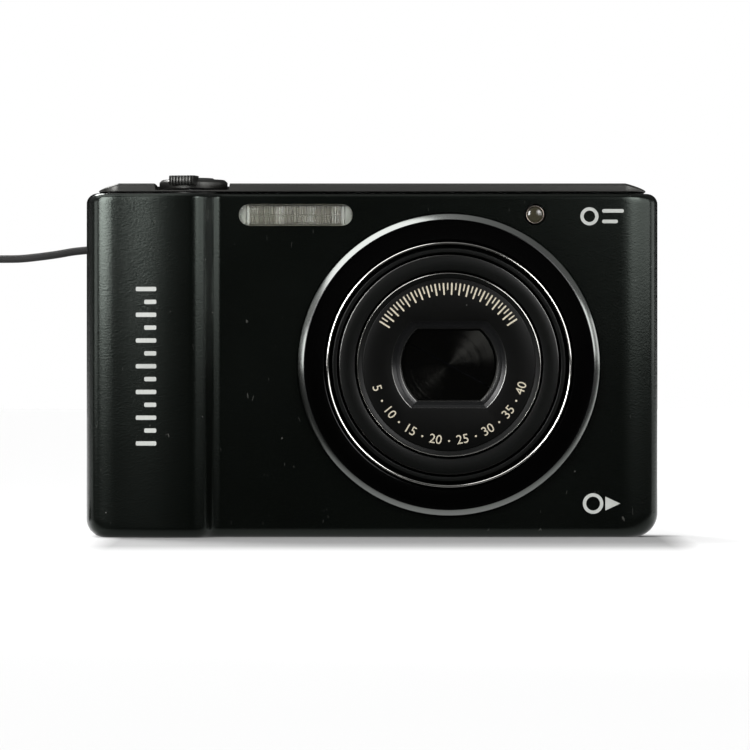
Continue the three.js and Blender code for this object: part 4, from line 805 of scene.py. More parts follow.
shell = dict(side=47.5, height=57.0, face=-7.0, back=9.6, wall=1.2, bottomLeft=3.0, bottomRight=4.0,
             topRound=1.7, bottomEdge=1.5, topEdge=0.8, backEdge=3.0, cornerFade=12.0,
             frontOpen=-1.65, rearOpen=-1.35)
grip = dict(crestX=-30.4, crestY=-10.2, shoulderX=-42.9, shoulderY=-9.35, drop=0.85, footX=-24.8, sideY=-3.4)
rightEdge = dict(run=6.3, sideY=-2.8)
over = 1.0  # how far a cutting tool reaches past what it cuts


def bezier(a, b, c, d, steps=20):
    a, b, c, d = [np.array(p, float) for p in (a, b, c, d)]
    t = np.linspace(0, 1, steps + 1)[:, None]
    return (1 - t) ** 3 * a + 3 * (1 - t) ** 2 * t * b + 3 * (1 - t) * t * t * c + t ** 3 * d


# The front plan: side wall, two curves over the grip, one down to the main face, and the right edge
def frontPlan():
    side, face = shell["side"], shell["face"]
    sx, sy, cx, cy, fx = grip["shoulderX"], grip["shoulderY"], grip["crestX"], grip["crestY"], grip["footX"]
    slope = grip["drop"] * 0.33
    rise, fall = cx - sx, fx - cx
    lean = grip["sideY"] + (sy - grip["sideY"]) * 0.92
    before = (-side + (side + sx) * 0.42, sy + slope)
    parts = [bezier((-side, grip["sideY"]), (-side, lean), before, (sx, sy)),
             bezier((sx, sy), (sx + rise * 0.4, sy - slope), (sx + rise * 0.62, cy), (cx, cy))[1:],
             bezier((cx, cy), (cx + fall * 0.7, cy), (fx - fall * 0.48, face), (fx, face), 44)[1:]]
    run, sideY = rightEdge["run"], rightEdge["sideY"]
    start = side - run
    parts.append(np.stack([np.linspace(fx, start, 14), np.full(14, face)], -1)[1:])
    lean = sideY + (face - sideY) * 0.75
    parts.append(bezier((start, face), (side - run * 0.38, face), (side, lean), (side, sideY), 24)[1:])
    return np.concatenate(parts)


def planY(x):
    plan = frontPlan()
    return np.interp(x, plan[:, 0], plan[:, 1])


# The back plan: a quarter round at each side and the flat back between them
def backPlan():
    side, back, r = shell["side"], shell["back"], shell["backEdge"]
    a = np.linspace(0, math.pi / 2, 15)
    right = np.stack([side - r + r * np.cos(a), back - r + r * np.sin(a)], -1)
    left = np.stack([-side + r + r * np.cos(a + math.pi / 2), back - r + r * np.sin(a + math.pi / 2)], -1)
    flat = np.stack([np.linspace(side - r, -side + r, 12), np.full(12, back)], -1)[1:-1]
    return np.concatenate([right, flat, left])


# How far a round of a given radius has drawn in, at a distance from the face that it meets: the radius
# less the root of its square less the square of what is left of it
def roundIn(distance, radius):
    if radius <= 0:
        return np.zeros_like(distance)
    depth = np.clip(radius - distance, 0, radius)
    return radius - np.sqrt(radius * radius - depth * depth)


# A plan raised between two heights: drawn in by the rounded ends, and its sides by the corner radii.
# An inset one has a plain top.
def raised(plan, inset, openY, bottom, top):
    s = shell
    topRound, topEdge = (s["topRound"], s["topEdge"]) if inset == 0 else (0, 0)
    largest = max(s["bottomLeft"], s["bottomRight"]) - inset
    t = np.linspace(0, math.pi / 2, 17)
    z = [bottom + largest * (1 - np.cos(t)), np.linspace(bottom + largest, top - topRound, 8)[1:]]
    if topRound:
        z.append(top - topRound * (1 - np.sin(t[1:])))
    z = np.concatenate(z)[:, None]
    edge = roundIn(z - bottom, max(s["bottomEdge"] - inset, 0)) + roundIn(top - z, topEdge)
    upper = roundIn(top - z, topRound)
    pullLeft = roundIn(z - bottom, s["bottomLeft"] - inset) + upper
    pullRight = roundIn(z - bottom, s["bottomRight"] - inset) + upper
    along = np.gradient(plan, axis=0)
    along /= np.linalg.norm(along, axis=1)[:, None]
    x = plan[:, 0] - along[:, 1] * (inset + edge)
    y = plan[:, 1] + along[:, 0] * (inset + edge)
    x = np.concatenate([x[:, :1], x, x[:, -1:]], 1)
    y = np.concatenate([np.full_like(z, openY), y, np.full_like(z, openY)], 1)
    near = np.clip(1 - (s["side"] - np.abs(x)) / s["cornerFade"], 0, None)
    x = x + np.where(x < 0, pullLeft - edge, edge - pullRight) * near
    return loftSurface(np.stack([x, y, np.broadcast_to(z, x.shape)], -1))


# How far tools reach through the front, back and top walls, holes that both shells share, and where
# the front's lie
frontSpan, backSpan, topSpan = (-12, 0), (7, 11), (55, 60)
bezelSeat = dict(radius=25.25, bore=20.7, face=-6.6)
doorMouth = block(-48.5, -13.6, -5.2, 4.3, -over, 1.5)
topMouth = block(-44.3, 44.3, -5.1, 7.7, 54.8, 58.0)
flashSpot = roundRect(-12.7, 53.45, 18.9, 3.6, 1.8, 14)
lampSpot = (27.0, 53.5)


def makeFrontShell():
    s = shell
    outer = raised(frontPlan(), 0, s["frontOpen"], 0, s["height"])
    inner = raised(frontPlan(), s["wall"], s["frontOpen"] + over, s["wall"], s["height"] - s["wall"])
    tools = [inner, topMouth, rod("Y", *lensAxis, bezelSeat["radius"], frontSpan[0], bezelSeat["face"], 160),
             rod("Y", *lensAxis, bezelSeat["bore"], *frontSpan, 160), bar(flashSpot, "Y", *frontSpan),
             rod("Y", *lampSpot, 1.8, *frontSpan), doorMouth]
    return addCarved(carved("frontShell", outer, cut(*tools)), "camera", "shell", "front_cover")


keySpots = dict(menu=(-37.3, 42.494), function=(-23.7, 42.494), playback=(-37.3, 12.506),
                delete=(-23.7, 12.506))
screen = dict(x=15.3, z=29.5, width=58.3, height=45.1, gap=0.35, back=8.4, front=9.6, areaZ=29.9,
              areaWidth=53.6, areaHeight=40.2, areaProud=0.015)
padSpot = (-30.5, 27.5)
videoSpot = (-21.4, 50.6)
bushSpot = (-3, 3.2)
screws = [("bottom", "middle", "Z", 14, 3), ("bottom", "right", "Z", 32, 3), ("side", "lower", "X", 2, 10),
          ("side", "upper", "X", 2, 50)]


# A profile of (radius, depth) turned about a screw's axis: the depth is from the bottom, or from the
# right side where the axis is X
def screwSurface(profile, axis, at, sides):
    if axis == "X":
        profile = [(r, shell["side"] - depth) for r, depth in profile]
    return turned(profile, axis, at, sides)


def makeRearShell():
    s = shell
    outer = raised(backPlan(), 0, s["rearOpen"], 0, s["height"])
    inner = raised(backPlan(), s["wall"], s["rearOpen"] - over, s["wall"], s["height"] - s["wall"])
    screenHole = roundRect(screen["x"], screen["z"], screen["width"] + 2 * screen["gap"],
                           screen["height"] + 2 * screen["gap"], 1.5, 8)
    joins = [block(-46.3, -13.9, 4.6, 7.1, 0.6, 2.8), block(-46.9, -44.1, 0.8, 5.0, 44.9, 51.1)]
    tools = [bar(screenHole, "Y", *backSpan), rod("Z", *bushSpot, 4.35, -over, 2.2),
             block(45.3, 48.5, 1.8, 5.2, 35.7, 44.3), block(-48.5, -44.8, 1.5, 4.3, 45.6, 50.4), doorMouth,
             rod("X", 5.6, 1.3, 0.73, -46.3, -13.9, 32), rod("Y", *padSpot, 9.3, *backSpan, 120),
             rod("Y", *videoSpot, 2.6, *backSpan)]
    tools += [bar(roundRect(*spot, 8.0, 4.2, 2.1, 14), "Y", *backSpan) for spot in keySpots.values()]
    tools += [block(x - 2.8, x + 5.3, 4.0, 7.1, -over, 2.8) for x in (-40.1, -24.0)]
    seat = [(0.0, -over), (1.65, -over), (1.65, 0.85), (1.0, 0.85), (1.0, 3.7), (0.0, 3.7)]
    tools += [screwSurface(seat, axis, at, 40) for _, _, axis, *at in screws]
    steps = cut(inner, topMouth) + join(*joins) + cut(*tools)
    return addCarved(carved("rearShell", outer, steps), "camera", "rear", "rear_cover")


top = dict(half=45.5, front=-6.3, back=8.9, low=57.3, high=58.8, endDrop=1.2, slopeStart=41.6, edge=0.55)
troughSpan = dict(left=-36.0, right=-23.8, floor=57.6, bevel=0.2, front=-8.0, back=7.4, over=60)
shutterAxis = (-29.9, 0.8)
powerSpot = (-13.5, 1)


# The top cover: its ends slope down by three parts of s and one of its square, where s goes from 0 to
# 1 over the last run
def makeTopCover():
    t, g = top, troughSpan
    outline = roundRect(0, (t["back"] + t["front"]) / 2, 2 * t["half"], t["back"] - t["front"], 3.5, 16)
    crown = [(inset, 0.0) for inset in (0.8, 1.1, 1.5, 1.9, 2.3, 2.7, 3.1, 3.45, 4.2, 5.5, 7.0)]
    points, faces = slab(outline, "Z", t["low"], t["high"], edge=t["edge"], back=0.12, steps=6, crown=crown)
    s = np.clip((np.abs(points[:, 0]) - t["slopeStart"]) / (t["half"] - t["slopeStart"]), 0, 1)
    share = (points[:, 2] - t["low"]) / (t["high"] - t["low"])
    points[:, 2] -= t["endDrop"] * (0.25 * s * s + 0.75 * s) * share
    left, right = g["left"] - g["bevel"], g["right"] + g["bevel"]
    section = [(g["left"], g["floor"]), (g["right"], g["floor"]), (right, t["high"]), (right, g["over"]),
               (left, g["over"]), (left, t["high"])]
    scoop = prism("Y", section, (g["front"], g["back"]))
    boss = rod("Z", *shutterAxis, 5.7, 56.3, 57.45, 96)
    holes = [rod("Z", *shutterAxis, 2.3, *topSpan),
             bar(roundRect(*powerSpot, 7.6, 3.6, 1.8, 14), "Z", *topSpan)]
    piece = carved("topCover", (points, faces), cut(scoop) + join(boss) + cut(*holes))
    return addCarved(piece, "camera", "cover", "top_cover")


def makeShutter():
    cap = [(0.0, 55), (2, 55), (2, 55.2), (2.8, 55.2), (2.8, 56), (2, 56), (2, 58.6), (3.5, 58.6),
           (3.5, 59.55), (3.3, 59.8), (2.6, 59.74), (0.0, 59.55)]
    surface = turned(cap, "Z", shutterAxis, 120, ease=(0.1, 3))
    return addPiece("shutterButton", "shutter", [(surface, "key")], "shutter_button")


lever = dict(half=2.1, grooves=8, front=-8.0, back=-4.4, grooveDepth=0.17, sideRound=0.35, turn=-13.3)


# The lever: a ring round the button with a tab, whose face has upright grooves. Their depth follows a
# wave of X that is cut off flat above and below, and the tab's sides are quarter rounds.
def makeLever():
    half, front = lever["half"], lever["front"]
    profile = [(3.8, 57.9), (5.7, 57.9), (5.7, 59.05), (5.2, 59.5), (3.8, 59.5)]
    x = np.linspace(-half, half, 99)
    wave = np.clip(np.cos(math.pi * x / half * lever["grooves"]) * 1.6 + 0.2, -1, 1)
    ends = np.clip((half - np.abs(x)) / lever["sideRound"], 0, 1)
    face = front + lever["grooveDepth"] * (1 - wave) + lever["sideRound"] * (1 - np.sqrt(1 - (1 - ends) ** 2))
    levels = ((58.4, 0.3), (58.5, 0.12), (58.75, 0.0), (59.2, 0.0), (59.65, 0.0), (59.9, 0.12), (60.0, 0.32))
    loops = []
    for z, tuck in levels:
        line = onAxis("Z", x, np.maximum(face + tuck, front), z)
        loops.append(np.concatenate([line, [(half, lever["back"], z), (-half, lever["back"], z)]]))
    ring = turned(profile, "Z", (0, 0), 120, ring=True, ease=(0.15, 3))
    piece = carved("zoomLever", ring, join(loftSurface(loops)))

    def turnedAndPlaced(p):
        u, v = rotated(p[:, 0], p[:, 1], lever["turn"])
        return np.stack([u + shutterAxis[0], v + shutterAxis[1], p[:, 2]], -1)
    reshape(piece, turnedAndPlaced)
    return addCarved(piece, "zoom", "cover", "zoom_lever", angle=32)


# The lens. Each ring is a profile of (radius, Y) turned about the axis.
def onLens(profile, sides=240, **more):
    return turned(profile, "Y", lensAxis, sides, **more)


# The bezel's polished flank and its black face meet in one crease
def makeBezel():
    flank = onLens([(20.7, -6.9), (24.95, -6.9), (24.95, -8.06), (24.93, -8.15), (24.87, -8.22),
                    (24.1, -8.84), (24.05, -8.87)])
    face = onLens([(24.05, -8.87), (23.98, -8.9), (23.9, -8.9), (20.9, -8.86), (20.75, -8.82), (20.7, -8.7),
                   (20.7, -6.9)])
    return addPiece("lensBezel", "camera", [(flank, "chamfer"), (face, "gloss")], "lens_bezel", angle=24)


def makeTrimRing():
    crown = onLens([(19.88, -8.9), (19.94, -9.02), (20.02, -9.08), (20.1, -9.1), (20.18, -9.08),
                    (20.26, -9.02), (20.32, -8.9)])
    walls = onLens([(20.32, -8.9), (20.4, -8.5), (20.4, -6.5), (19.7, -6.5), (19.7, -8.5), (19.88, -8.9)])
    return addPiece("chromeRing", "camera", [(crown, "chrome"), (walls, "gloss")], "chrome_trim_ring")


def makeLensBase():
    profile = [(4.95, 2.9), (18.5, 2.9), (18.5, -8.2), (18.62, -8.4), (19.25, -8.4), (19.4, -8.2),
               (19.4, -5.5), (24, -5.5), (24, 3.9), (4.95, 3.9)]
    surface = onLens(profile, 192, ring=True, ease=(0.08, 3))
    return addPiece("lensBase", "camera", [(surface, "barrel")], "lens_base")


def makeOuterBarrel():
    walls = onLens([(18.2, -8.66), (18.2, -7.9), (18.08, -7.8), (18.08, -7.6), (18.2, -7.5), (18.2, 2.6),
                    (15.5, 2.6), (15.5, -8.6), (15.6, -8.74), (15.75, -8.8), (18.06, -8.8)], 192)
    edge = onLens([(18.06, -8.8), (18.12, -8.78), (18.18, -8.72), (18.2, -8.66)], 192)
    return addPiece("outerBarrel", "lens_outer", [(edge, "edging"), (walls, "barrel")], "lens_barrel_outer")


# A point across the lens at (u, v) from its axis, turned about the axis
def acrossLens(u, v, degrees):
    x, z = rotated(u, v, degrees)
    return lensAxis[0] + x, lensAxis[1] + z


leaf = dict(tilt=-28.6, reach=8.3, sweep=13.9, trailLess=0.7, pivot=12.6, openAngle=40.0, half=0.06, ear=1.15,
            bore=0.85, armEnd=-6.8, lead=(-7.87, -7.75), trail=(-7.6, -7.15))


def makeInnerBarrel():
    walls = onLens([(15.2, -9.36), (15.2, -8.5), (15.1, -8.4), (15.1, -8.2), (15.2, -8.1), (15.2, 2.4),
                    (8.2, 2.4), (8.2, -6.8), (14.3, -6.8), (14.3, -9.24), (14.34, -9.29), (14.42, -9.31),
                    (14.94, -9.42), (15.02, -9.5)])
    polished = onLens([(15.02, -9.5), (15.09, -9.49), (15.16, -9.43), (15.2, -9.36)])
    surfaces = [(walls, "barrel"), (polished, "chrome")]
    for end in (-1, 1):
        spot = acrossLens(end * leaf["pivot"], 0, leaf["tilt"])
        surfaces.append((rod("Y", *spot, 0.55, -8.1, -6.4, 24), "barrel"))
    return addPiece("innerBarrel", "lens_inner", surfaces, "lens_barrel_inner")


# The front ring: from its rim to an opening, a circle cut off above and below, with a sloping edge
# between two bright lines. At an angle the opening's reach is the smaller of its radius and its half
# height over the sine.
def makeNameRing():
    corner = math.asin(7.05 / 9.35)
    corners = [corner, math.pi - corner, math.pi + corner, 2 * math.pi - corner]
    angle = np.sort(np.concatenate([around(240), corners]))
    sine = np.maximum(np.abs(np.sin(angle)), 1e-6)

    def strip(sections):
        loops = []
        for radius, half, y in sections:
            reach = np.minimum(radius, half / sine)
            loops.append(onAxis("Y", *acrossLens(reach * np.cos(angle), reach * np.sin(angle), 0), y))
        return np.array(loops).reshape(-1, 3), gridFaces(len(loops), len(angle))
    rim = 99.0  # more than any reach
    face = [(7.8, 5.8, -8.4), (14.28, rim, -8.4), (14.28, rim, -9.22), (14.25, rim, -9.28),
            (14.18, rim, -9.3), (9.5, 7.2, -9.3)]
    outerLine = [(9.5, 7.2, -9.3), (9.44, 7.14, -9.285), (9.38, 7.08, -9.25)]
    flank = [(9.38, 7.08, -9.25), (8.75, 6.6, -8.93), (8.66, 6.52, -8.93), (8.16, 6.12, -8.74)]
    innerLine = [(8.16, 6.12, -8.74), (8.02, 6.0, -8.72), (7.9, 5.9, -8.62), (7.83, 5.83, -8.5)]
    back = [(7.83, 5.83, -8.5), (7.8, 5.8, -8.4)]
    surfaces = [(strip(face), "nameRing"), (strip(outerLine), "edging"), (strip(flank), "flank"),
                (strip(innerLine), "edging"), (strip(back), "flank")]
    return addPiece("nameRing", "lens_inner", surfaces, "front_ring", angle=24)


# A leaf is made shut, about the lens axis: a disc of the reach radius, cut along the parting line. The
# sweep circle lies about the axis as an open leaf sees it. A leading leaf keeps what is inside it, a
# trailing one what is outside a smaller one. An arm joins the disc to the ear with its bore.
def makeLeaf(kind, side, flip):
    p, half, end, turnBack = leaf["pivot"], leaf["half"], leaf["armEnd"], math.radians(leaf["openAngle"])
    centre = (-p + p * math.cos(turnBack), -p * math.sin(turnBack))
    y0, y1 = leaf[kind]
    low, high = y0 - over, y1 + over
    blade = rod("Y", 0, 0, leaf["reach"], y0, y1, 180)
    below = block(-20, 20, low, high, -20, half)
    if kind == "lead":
        swept = [("INTERSECT", rod("Y", *centre, leaf["sweep"], low, high, 240))]
        upper = [(end, 3.0)]
    else:
        swept = cut(rod("Y", *centre, leaf["sweep"] - leaf["trailLess"], low, high, 240))
        upper = [(end, 4.5), (-5.3, 6.0), (end, 6.0)]
    arm = prism("Y", [(-p, half), (end, half), *upper, (-p, leaf["ear"])], (y0, y1))
    ear = rod("Y", -p, 0, leaf["ear"], y0, y1, 40)
    bore = rod("Y", -p, 0, leaf["bore"], low, high, 32)
    steps = swept + cut(below) + join(arm, ear) + cut(bore)
    piece = carved(side + kind.capitalize() + "Leaf", blade, steps)

    def turnedAndPlaced(q):
        x, z = acrossLens(q[:, 0], q[:, 2], leaf["tilt"] + (180 if flip else 0))
        return np.stack([x, q[:, 1], z], -1)
    reshape(piece, turnedAndPlaced)
    return addCarved(piece, "leaf_%s_%s" % (side, kind), "leaf", "barrier_leaf_%s_%s" % (side, kind))


def makeGlass():
    dome = [(0.0, -6.7), (2, -6.63), (4, -6.42), (6, -6.07), (7.4, -5.72), (7.9, -5.55), (7.9, -3.4),
            (0.0, -3.4)]
    addPiece("frontGlass", "lens_inner", [(onLens(dome, 96), "lens")], "front_lens")
    rear = [(0.0, 2.5), (1.6, 2.56), (3.2, 2.75), (4.7, 3.1), (4.7, 3.9), (0.0, 3.9)]
    addPiece("rearGlass", "camera", [(onLens(rear, 72), "lens")], "rear_lens")


print("start shells")
makeFrontShell()
makeRearShell()
print("shells made")
makeTopCover()
makeShutter()
makeLever()
print("top made")
makeBezel()
makeTrimRing()
makeLensBase()
makeOuterBarrel()
makeInnerBarrel()
makeNameRing()
for flipped, side in enumerate(("upper", "lower")):
    for kind in ("lead", "trail"):
        makeLeaf(kind, side, flipped)
makeGlass()
print("lens made")

# Flash: a clear window over a ribbed sheet with a pale cap at each end and, inside it, a near-white bar that
# is a painted highlight, and the trough with the tube

flash = dict(x=-12.7, z=53.45, width=18.7, height=3.4, radius=1.7, front=-7.0, back=-5.9, ribPitch=0.42,
             ribDepth=0.12, ribHalf=7.7, sheetFront=-5.86, sheetBack=-5.53, cap=(8.15, 9.2), bar=(7.75, 8.02))
trough = dict(front=-5.5, half=9.5, wall=0.4, depth=2.9, lip=1.7, outerDepth=3.3, outerLip=2.14)


# A sheet of upright ridges behind the window: its depth is a zigzag of X, and a groove runs along its
# middle
def ribSheet():
    f = flash
    x = np.linspace(f["x"] - f["ribHalf"], f["x"] + f["ribHalf"], 297)
    zigzag = 0.2 * np.abs(2 * (((x - f["x"]) / f["ribPitch"]) % 1) - 1)
    section = [(-1.5, 0.05), (-0.16, 0.0), (-0.06, 0.12), (0.06, 0.12), (0.16, 0.0), (1.5, 0.05)]
    loops = [onAxis("Z", x, f["sheetFront"] + zigzag + deep, f["z"] + z) for z, deep in section]
    loops += [onAxis("Z", x, f["sheetBack"], f["z"] + z) for z in (1.5, -1.5)]
    rows, columns = len(loops), len(x)
    starts = [row * columns for row in range(rows)]
    caps = [starts, [start + columns - 1 for start in starts][::-1]]
    return np.array(loops).reshape(-1, 3), gridFaces(rows, columns, closeRows=True, closeColumns=False) + caps


# The window's back is ribbed: its depth follows a wave along X with the ribs' pitch
def makeFlashWindow():
    f = flash
    outline = roundRect(f["x"], f["z"], f["width"], f["height"], f["radius"], 16)
    plain = slab(outline, "Y", f["back"] - 0.15, f["front"], edge=0.14, steps=3)
    x = np.linspace(f["x"] - f["ribHalf"], f["x"] + f["ribHalf"], 296)
    wave = f["ribDepth"] * (0.5 + 0.5 * np.cos(2 * math.pi * (x - f["x"]) / f["ribPitch"]))
    ribs = np.stack([np.concatenate([x, x[::-1]]), f["back"] - np.concatenate([wave, np.full_like(x, 0.3)])])
    loops = [onAxis("Z", *ribs, z) for z in np.linspace(f["z"] - 1.35, f["z"] + 1.35, 3)]
    piece = carved("flashWindow", plain, join(loftSurface(loops)))
    return addCarved(piece, "camera", "clear", "flash_window", angle=24)


# The trough's section is a parabola between its lips, with a wall at each end. The caps, the bars of painted
# highlight and the ribbed sheet lie over it.
def makeFlashTrough():
    f, t = flash, trough
    a = np.linspace(-1, 1, 41)
    hollow = np.stack([t["front"] + t["depth"] * (1 - a * a), f["z"] + t["lip"] * a], -1)
    outer = np.stack([t["front"] + t["outerDepth"] * (1 - a * a), f["z"] + t["outerLip"] * a], -1)[::-1]
    left, right = f["x"] - t["half"], f["x"] + t["half"]
    parts = [(prism("X", np.concatenate([hollow, outer]), (left, right)), "reflector")]
    for x in (left, right - t["wall"]):
        wall = boxSurface(x, x + t["wall"], t["front"], -2.2, f["z"] - 2.1, f["z"] + 2.1, 0.06)
        parts.append((wall, "reflector"))
    # The bright bars are a painted highlight: near-white strips at the flash's ends
    ends = ((f["cap"], -5.8, -5.55, 1.45, 0.08, "diffuser"), (f["bar"], -5.84, -5.56, 1.5, 0.06, "glow"))
    for sign in (-1, 1):
        for (near, far), y0, y1, half, edge, kind in ends:
            x0, x1 = sorted((f["x"] + sign * near, f["x"] + sign * far))
            parts.append((boxSurface(x0, x1, y0, y1, f["z"] - half, f["z"] + half, edge), kind))
    parts.append((ribSheet(), "ribs"))
    return addPiece("flashTrough", "camera", parts, "flash_reflector", angle=40)


def makeFlashTube():
    axis = (-3.6, flash["z"])
    glass = [(0.0, -21.6), (0.55, -21.6), (0.76, -21.4), (0.76, -4.0), (0.55, -3.8), (0.0, -3.8)]
    sleeve = [(0.0, -21.5), (0.8, -21.5), (0.8, -20.6), (0.0, -20.6)]
    return addPiece("flashTube", "camera", [(turned(glass, "X", axis, 40), "tube"),
                                            (turned(sleeve, "X", axis, 40), "steel")], "flash_tube")


def makeLamp():
    dome = [(0.0, -6.78), (0.5, -6.76), (0.95, -6.68), (1.2, -6.56), (1.28, -6.45), (1.28, -5.0), (0.0, -5.0)]
    collar = [(1.3, -5.05), (1.3, -6.6), (1.36, -6.8), (1.46, -6.8), (1.5, -6.6), (1.5, -5.05)]
    rim = turned(collar, "Y", lampSpot, 72, ring=True, ease=(0.05, 2))
    return addPiece("focusLamp", "camera", [(turned(dome, "Y", lampSpot, 72), "amber"), (rim, "lampRim")],
                    "af_lamp_lens")


# Keys: a cap with a rounded edge over its flange

pill = dict(width=7.4, height=3.6, flange=0.7, face=10.05, seat=8.1, low=7.3, edge=0.35)


def makePill(body):
    w, h, reach = pill["width"], pill["height"], 2 * pill["flange"]
    flange = roundRect(*keySpots[body], w + reach, h + reach, (h + reach) / 2, 12)
    cap = slab(roundRect(*keySpots[body], w, h, h / 2, 14), "Y", pill["seat"] - 0.3, pill["face"],
               edge=pill["edge"], steps=5, crown=[(0.8, 0.03), (1.3, 0.045), (1.7, 0.05)])
    piece = carved(body + "Key", bar(flange, "Y", pill["low"], pill["seat"]), join(cap))
    return addCarved(piece, body, "key", body + "_button", angle=32)


def makeVideoKey():
    cap = [(0.0, 7.3), (3.0, 7.3), (3.0, 8.1), (2.3, 8.1), (2.3, 9.95), (2.1, 10.2), (1.4, 10.12),
           (0.0, 10.02)]
    dot = [(0.0, 10.0), (0.75, 10.0), (0.75, 10.1), (0.7, 10.13), (0.0, 10.14)]
    cap, dot = turned(cap, "Y", videoSpot, 96, ease=(0.1, 3)), turned(dot, "Y", videoSpot, 48)
    return addPiece("videoKey", "video", [(cap, "key"), (dot, "signal")], "video_button")


# The pad is a dished ring round the middle key
def makePad():
    dish = [(4.4, 7.3), (9.7, 7.3), (9.7, 8.1), (9.0, 8.1), (9.0, 9.8), (8.7, 10.15), (8.2, 10.2),
            (6.6, 10.02), (5.0, 10.1), (4.6, 10.05), (4.4, 9.85)]
    ring = turned(dish, "Y", padSpot, 160, ring=True, ease=(0.14, 4))
    addPiece("directionPad", "pad", [(ring, "key")], "direction_pad")
    middle = [(0.0, 7.3), (4.1, 7.3), (4.1, 9.95), (3.85, 10.2), (3.0, 10.16), (0.0, 10.1)]
    addPiece("okKey", "ok", [(turned(middle, "Y", padSpot, 120, ease=(0.12, 3)), "key")], "ok_button")


def makePowerKey():
    cap = slab(roundRect(*powerSpot, 7.0, 3.0, 1.5, 14), "Z", 56.5, 58.86, edge=0.25, steps=4,
               crown=[(0.7, 0.0), (1.1, -0.05), (1.4, -0.06)])
    flange = bar(roundRect(*powerSpot, 8.7, 4.7, 2.35, 12), "Z", 56.0, 56.7)
    stem = rod("Z", *powerSpot, 1.0, 54.3, 56.3, 40)
    return addCarved(carved("powerKey", flange, join(cap, stem)), "power", "key", "power_button", angle=32)


# The screen: a black glass over a darker picture area that is set in by a margin
def makeScreen():
    s = screen
    outline = roundRect(s["x"], s["z"], s["width"], s["height"], 0.8, 8)
    glass = slab(outline, "Y", s["back"], s["front"], edge=0.15, steps=3)
    outline = roundRect(s["x"], s["areaZ"], s["areaWidth"], s["areaHeight"], 0.3, 4)
    area = slab(outline, "Y", s["front"] - 0.1, s["front"] + s["areaProud"], edge=0.01, steps=1)
    surfaces = [(glass, "screen"), (area, "picture")]
    return addPiece("screenWindow", "camera", surfaces, "lcd_window", weighted=True)


# The bush's bore has rings in place of a thread
def makeBush():
    profile = [(4.2, 0.45), (4.2, 5.45), (0.0, 5.45), (0.0, 4.85), (3.0, 4.85)]
    thread = []
    for z in np.arange(0.55, 4.7, 0.5):
        thread += [(3.2, z), (3.02, z + 0.14), (3.02, z + 0.26), (3.2, z + 0.4)]
    profile += thread[::-1] + [(3.4, 0.25), (4.0, 0.25)]
    surface = turned(profile, "Z", bushSpot, 96, ring=True)
    return addPiece("tripodBush", "camera", [(surface, "brass")], "tripod_bush")


usb = dict(x0=40.5, x1=47.2, y=3.5, z=40, thick=2.8, height=8.0, wall=0.35)


def makeConnector():
    c = usb
    outline = roundRect(c["y"], c["z"], c["thick"], c["height"], 1.0, 8)
    case = slab(outline, "X", c["x0"], c["x1"], edge=0.1, steps=2)
    hollow = roundRect(c["y"], c["z"], c["thick"] - 2 * c["wall"], c["height"] - 2 * c["wall"], 0.7, 8)
    mouth = bar(hollow, "X", c["x0"] + 1.3, c["x1"] + over)
    tongue = boxSurface(41.2, 45.9, 3.15, 3.85, 37.05, 42.95, 0.1)
    addCarved(carved("usbSocket", case, cut(mouth) + join(tongue)), "camera", "steel", "usb_connector")
    contacts = [(boxSurface(41.5, 45.6, 3.86, 3.92, z - 0.14, z + 0.14, 0.02), "brass")
                for z in np.arange(37.6, 42.6, 0.6)]
    addPiece("usbContacts", "camera", contacts)


# A screw with a crossed recess: its head is proud of its seat by a low round
def makeScrew(side, spot, axis, u, v):
    profile = [(0.0, 0.2), (1.1, 0.22), (1.32, 0.32), (1.4, 0.48), (1.4, 0.8), (0.8, 0.8), (0.8, 3.4),
               (0.0, 3.4)]
    slots = []
    for a, b in ((0.75, 0.16), (0.16, 0.75)):
        across = (u - a, u + a, v - b, v + b)
        if axis == "Z":
            slots.append(block(*across, -over, 0.6))
        else:
            slots.append(block(shell["side"] - 0.6, shell["side"] + over, *across))
    name = side + spot.capitalize() + "Screw"
    piece = carved(name, screwSurface(profile, axis, (u, v), 48), cut(*slots))
    return addCarved(piece, "camera", "screwHead", "screw_%s_%s" % (side, spot))


makeFlashWindow()
makeFlashTrough()
makeFlashTube()
makeLamp()
for body in keySpots:
    makePill(body)
makeVideoKey()
makePad()
makePowerKey()
makeScreen()
makeBush()
makeConnector()
for screw in screws:
    makeScrew(*screw)
print("flash, keys, screen and fittings made")

# Printed marks. All are plain shapes and numbers, a few hundredths of a millimetre proud: towards the
# front, or towards the back where proud is negative.


# A flat shape, given as an outline of (u, v), put on the surface that a function gives at each point
def printed(outline, surfaceY, proud=0.03):
    u, v = np.asarray(outline, float).T
    y = surfaceY(u) if callable(surfaceY) else surfaceY
    return loftSurface([onAxis("Y", u, v, y + math.copysign(0.05, proud)), onAxis("Y", u, v, y - proud)])


def printedRing(u, v, outer, inner, y, proud=0.03):
    big, small = circle(u, v, outer, 48)().T, circle(u, v, inner, 48)().T
    under = y + math.copysign(0.05, proud)
    levels = ((big, under), (big, y - proud), (small, y - proud), (small, under))
    return ringSurface([onAxis("Y", *loop, level) for loop, level in levels])


def addMarks(name, body, kind, surfaces):
    return addPiece(name, body, [(surface, kind) for surface in surfaces], angle=40)


gripTicks = dict(left=-39.05, top=41.1, bottom=15.6, count=13, long=3.4, short=2.0, height=0.72)


# Ticks down the grip, every other one shorter. Each point of a tick lies on the shell's plan at its X.
def makeGripMarks():
    g = gripTicks
    marks = []
    for i, z in enumerate(np.linspace(g["top"], g["bottom"], g["count"])):
        width = g["short"] if i % 2 else g["long"]
        middle = g["left"] + g["long"] - width / 2
        marks.append(printed(roundRect(middle, z, width, g["height"], 0.2, 4)(), planY))
    return addMarks("gripTicks", "camera", "pale", marks)


